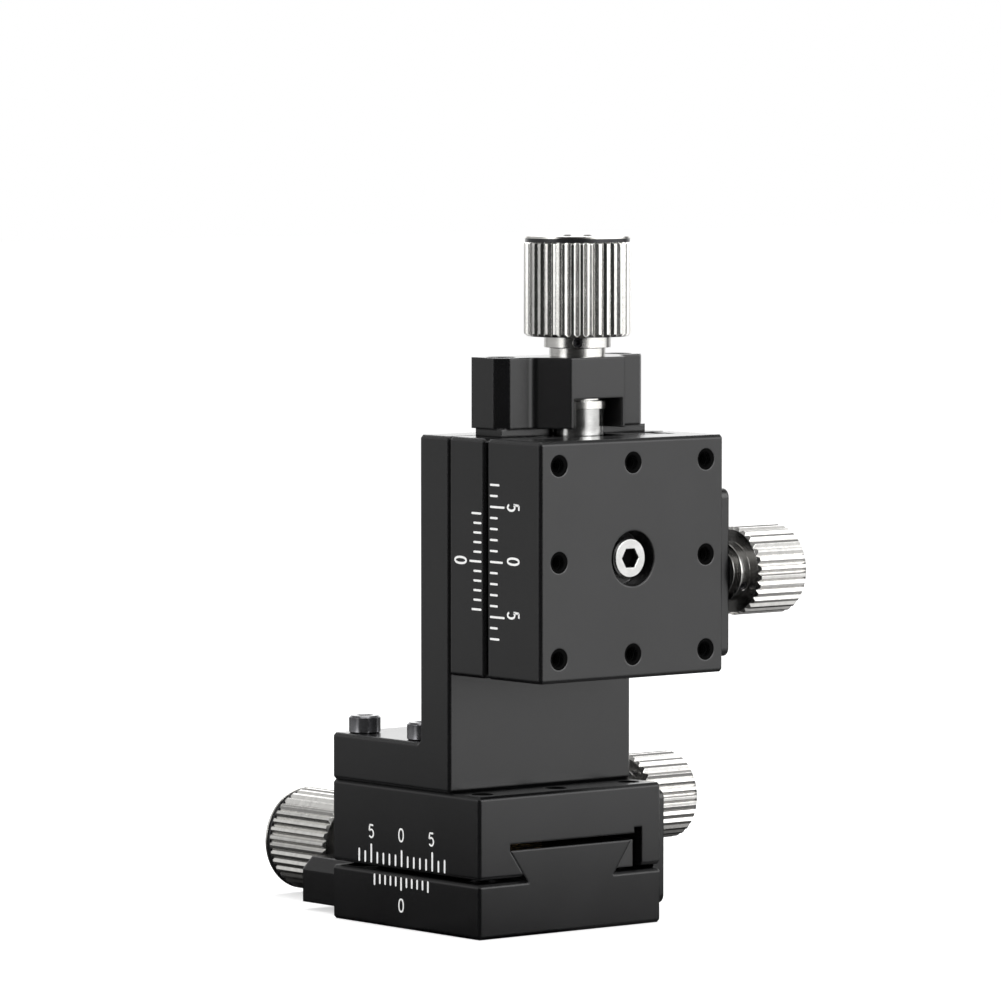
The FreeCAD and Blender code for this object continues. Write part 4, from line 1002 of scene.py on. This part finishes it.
def make_floor_paper():
    material, tree, shader, place = new_material("floor paper")
    fibre = noise_node(tree, place, 900.0, 3.0)
    paper = mix_colours(tree, fibre, (0.86, 0.86, 0.86), (0.84, 0.84, 0.84))
    panels = place_group(tree, studio_panels, place)
    # In reflections the floor is painted light and shadow: the panels' brightness, faded to near dark
    # close to the product as a painted shadow.
    reach = remap(tree, vector_node(tree, "LENGTH", place), NEAR, FAR, NEAR_SHADOW_LEVEL, 1.0)
    painted_panel_light = math_node(tree, "MULTIPLY", panels.outputs["Brightness"], reach)
    painted_floor_reflection = mix_colours(tree, painted_panel_light, (0.0, 0.0, 0.0), (0.86, 0.86, 0.86))
    path = tree.nodes.new("ShaderNodeLightPath")
    tree.links.new(mix_colours(tree, path.outputs["Is Glossy Ray"], paper, painted_floor_reflection),
                   shader.inputs["Base Color"])
    shader.inputs["Roughness"].default_value = 0.9
    shader.inputs["Specular IOR Level"].default_value = 0.0
    tree.links.new(math_node(tree, "MULTIPLY", path.outputs["Is Camera Ray"], FLOOR_GLOW),
                   shader.inputs["Emission Strength"])
    shader.inputs["Emission Color"].default_value = (1.0, 1.0, 1.0, 1.0)
    return material


floor_mesh = bpy.data.meshes.new("floor")
corners = [(x * FLOOR_HALF, y * FLOOR_HALF, 0) for x, y in ((-1, -1), (1, -1), (1, 1), (-1, 1))]
floor_mesh.from_pydata(corners, [], [(0, 1, 2, 3)])
floor_mesh.materials.append(make_floor_paper())
floor = bpy.data.objects.new("floor", floor_mesh)
bpy.context.scene.collection.objects.link(floor)
floor.location.z = -FLOOR_DROP
print("floor", 2 * FLOOR_HALF, "m wide")

# %% [markdown]
# ## World
#
# The camera sees pure white behind the product. Reflections see the panels, which end some way up,
# so the upper chamfers stay dark, and a dim grey ceiling over them. Light that falls on matt faces
# comes from a plain pale world and from the lamps.


# %% World
WORLD_FILL = 0.55
CEILING = 0.32
PANEL_FADE = (0.50, 0.72)
CEILING_FADE = (0.40, 0.60)


def make_world():
    world = bpy.data.worlds.new("studio")
    bpy.context.scene.world = world
    world.use_nodes = True
    tree = world.node_tree
    tree.nodes.clear()
    output = tree.nodes.new("ShaderNodeOutputWorld")
    direction = tree.nodes.new("ShaderNodeTexCoord").outputs["Generated"]
    split = tree.nodes.new("ShaderNodeSeparateXYZ")
    tree.links.new(direction, split.inputs[0])
    panels = place_group(tree, studio_panels, direction)
    lower_part = remap(tree, split.outputs["Z"], *PANEL_FADE, 1.0, 0.0)
    panel = math_node(tree, "MULTIPLY", panels.outputs["Brightness"], lower_part)
    ceiling = remap(tree, split.outputs["Z"], *CEILING_FADE, 0.0, CEILING)
    seen_by_metal = math_node(tree, "MAXIMUM", panel, ceiling)
    path = tree.nodes.new("ShaderNodeLightPath")
    glossy = math_node(tree, "MULTIPLY", path.outputs["Is Glossy Ray"], seen_by_metal)
    other = math_node(tree, "SUBTRACT", 1.0, path.outputs["Is Glossy Ray"])
    filled = math_node(tree, "MULTIPLY", other, WORLD_FILL)
    strength = math_node(tree, "ADD", glossy, filled)
    strength = math_node(tree, "MAXIMUM", strength, path.outputs["Is Camera Ray"])
    strength = math_node(tree, "MAXIMUM", strength, path.outputs["Is Transmission Ray"])
    background = tree.nodes.new("ShaderNodeBackground")
    background.inputs["Color"].default_value = (1.0, 1.0, 1.0, 1.0)
    tree.links.new(strength, background.inputs["Strength"])
    tree.links.new(background.outputs[0], output.inputs["Surface"])
    return world


print("world", make_world().name)

# %% [markdown]
# ## Lamps
#
# Three soft square lamps shape the matt parts and cast the pale shadow: a key to the right of the
# camera, a fill to its left and one from above. They are weak next to the white world, because the
# picture has nearly no shadow.


# %% Lamps
def add_lamp(name, place, aim, size, power):
    light = bpy.data.lights.new(name, "AREA")
    light.shape = "SQUARE"
    light.size = size
    light.energy = power
    lamp = bpy.data.objects.new(name, light)
    bpy.context.scene.collection.objects.link(lamp)
    lamp.location = place
    lamp.rotation_euler = (Vector(aim) - Vector(place)).to_track_quat("-Z", "Y").to_euler()


middle = Vector((0.0, 0.0, 0.06))
add_lamp("key", (0.75, 0.05, 0.42), middle, 0.55, 4.2)
add_lamp("fill", (-0.15, -0.85, 0.35), middle, 0.5, 1.6)
add_lamp("top", (-0.1, 0.1, 0.9), middle, 0.6, 3.2)
print("lamps", len(bpy.data.lights))

# %% [markdown]
# ## Camera
#
# The picture was taken with a long lens from far off, a little above the middle, turned about 51
# degrees from the lower stage's side. The distance and the focal length were worked out from the
# places of the blocks' corners in the photograph. Its frame is 1001 by 1000 pixels.

# %% Camera
AZIMUTH = math.radians(50.765)
ELEVATION = math.radians(3.596)
DISTANCE = 1136.5 * MM
FOCAL_PIXELS = 6668.7
FRAME_PIXELS = 1001
AIM_RIGHT = 0.714 * MM
AIM_HEIGHT = 71.987 * MM

back = Vector((math.sin(AZIMUTH) * math.cos(ELEVATION), -math.cos(AZIMUTH) * math.cos(ELEVATION),
               math.sin(ELEVATION)))
right = Vector((math.cos(AZIMUTH), math.sin(AZIMUTH), 0.0))
camera_data = bpy.data.cameras.new("camera")
camera_data.sensor_width = 36.0
camera_data.lens = FOCAL_PIXELS / FRAME_PIXELS * camera_data.sensor_width
camera_data.clip_end = 20.0
camera = bpy.data.objects.new("camera", camera_data)
bpy.context.scene.collection.objects.link(camera)
camera.location = right * AIM_RIGHT + Vector((0, 0, AIM_HEIGHT)) + back * DISTANCE
camera.rotation_euler = back.to_track_quat("Z", "Y").to_euler()
bpy.context.scene.camera = camera
bpy.context.scene.view_settings.view_transform = "Standard"
print("lens", round(camera_data.lens, 1), "mm")
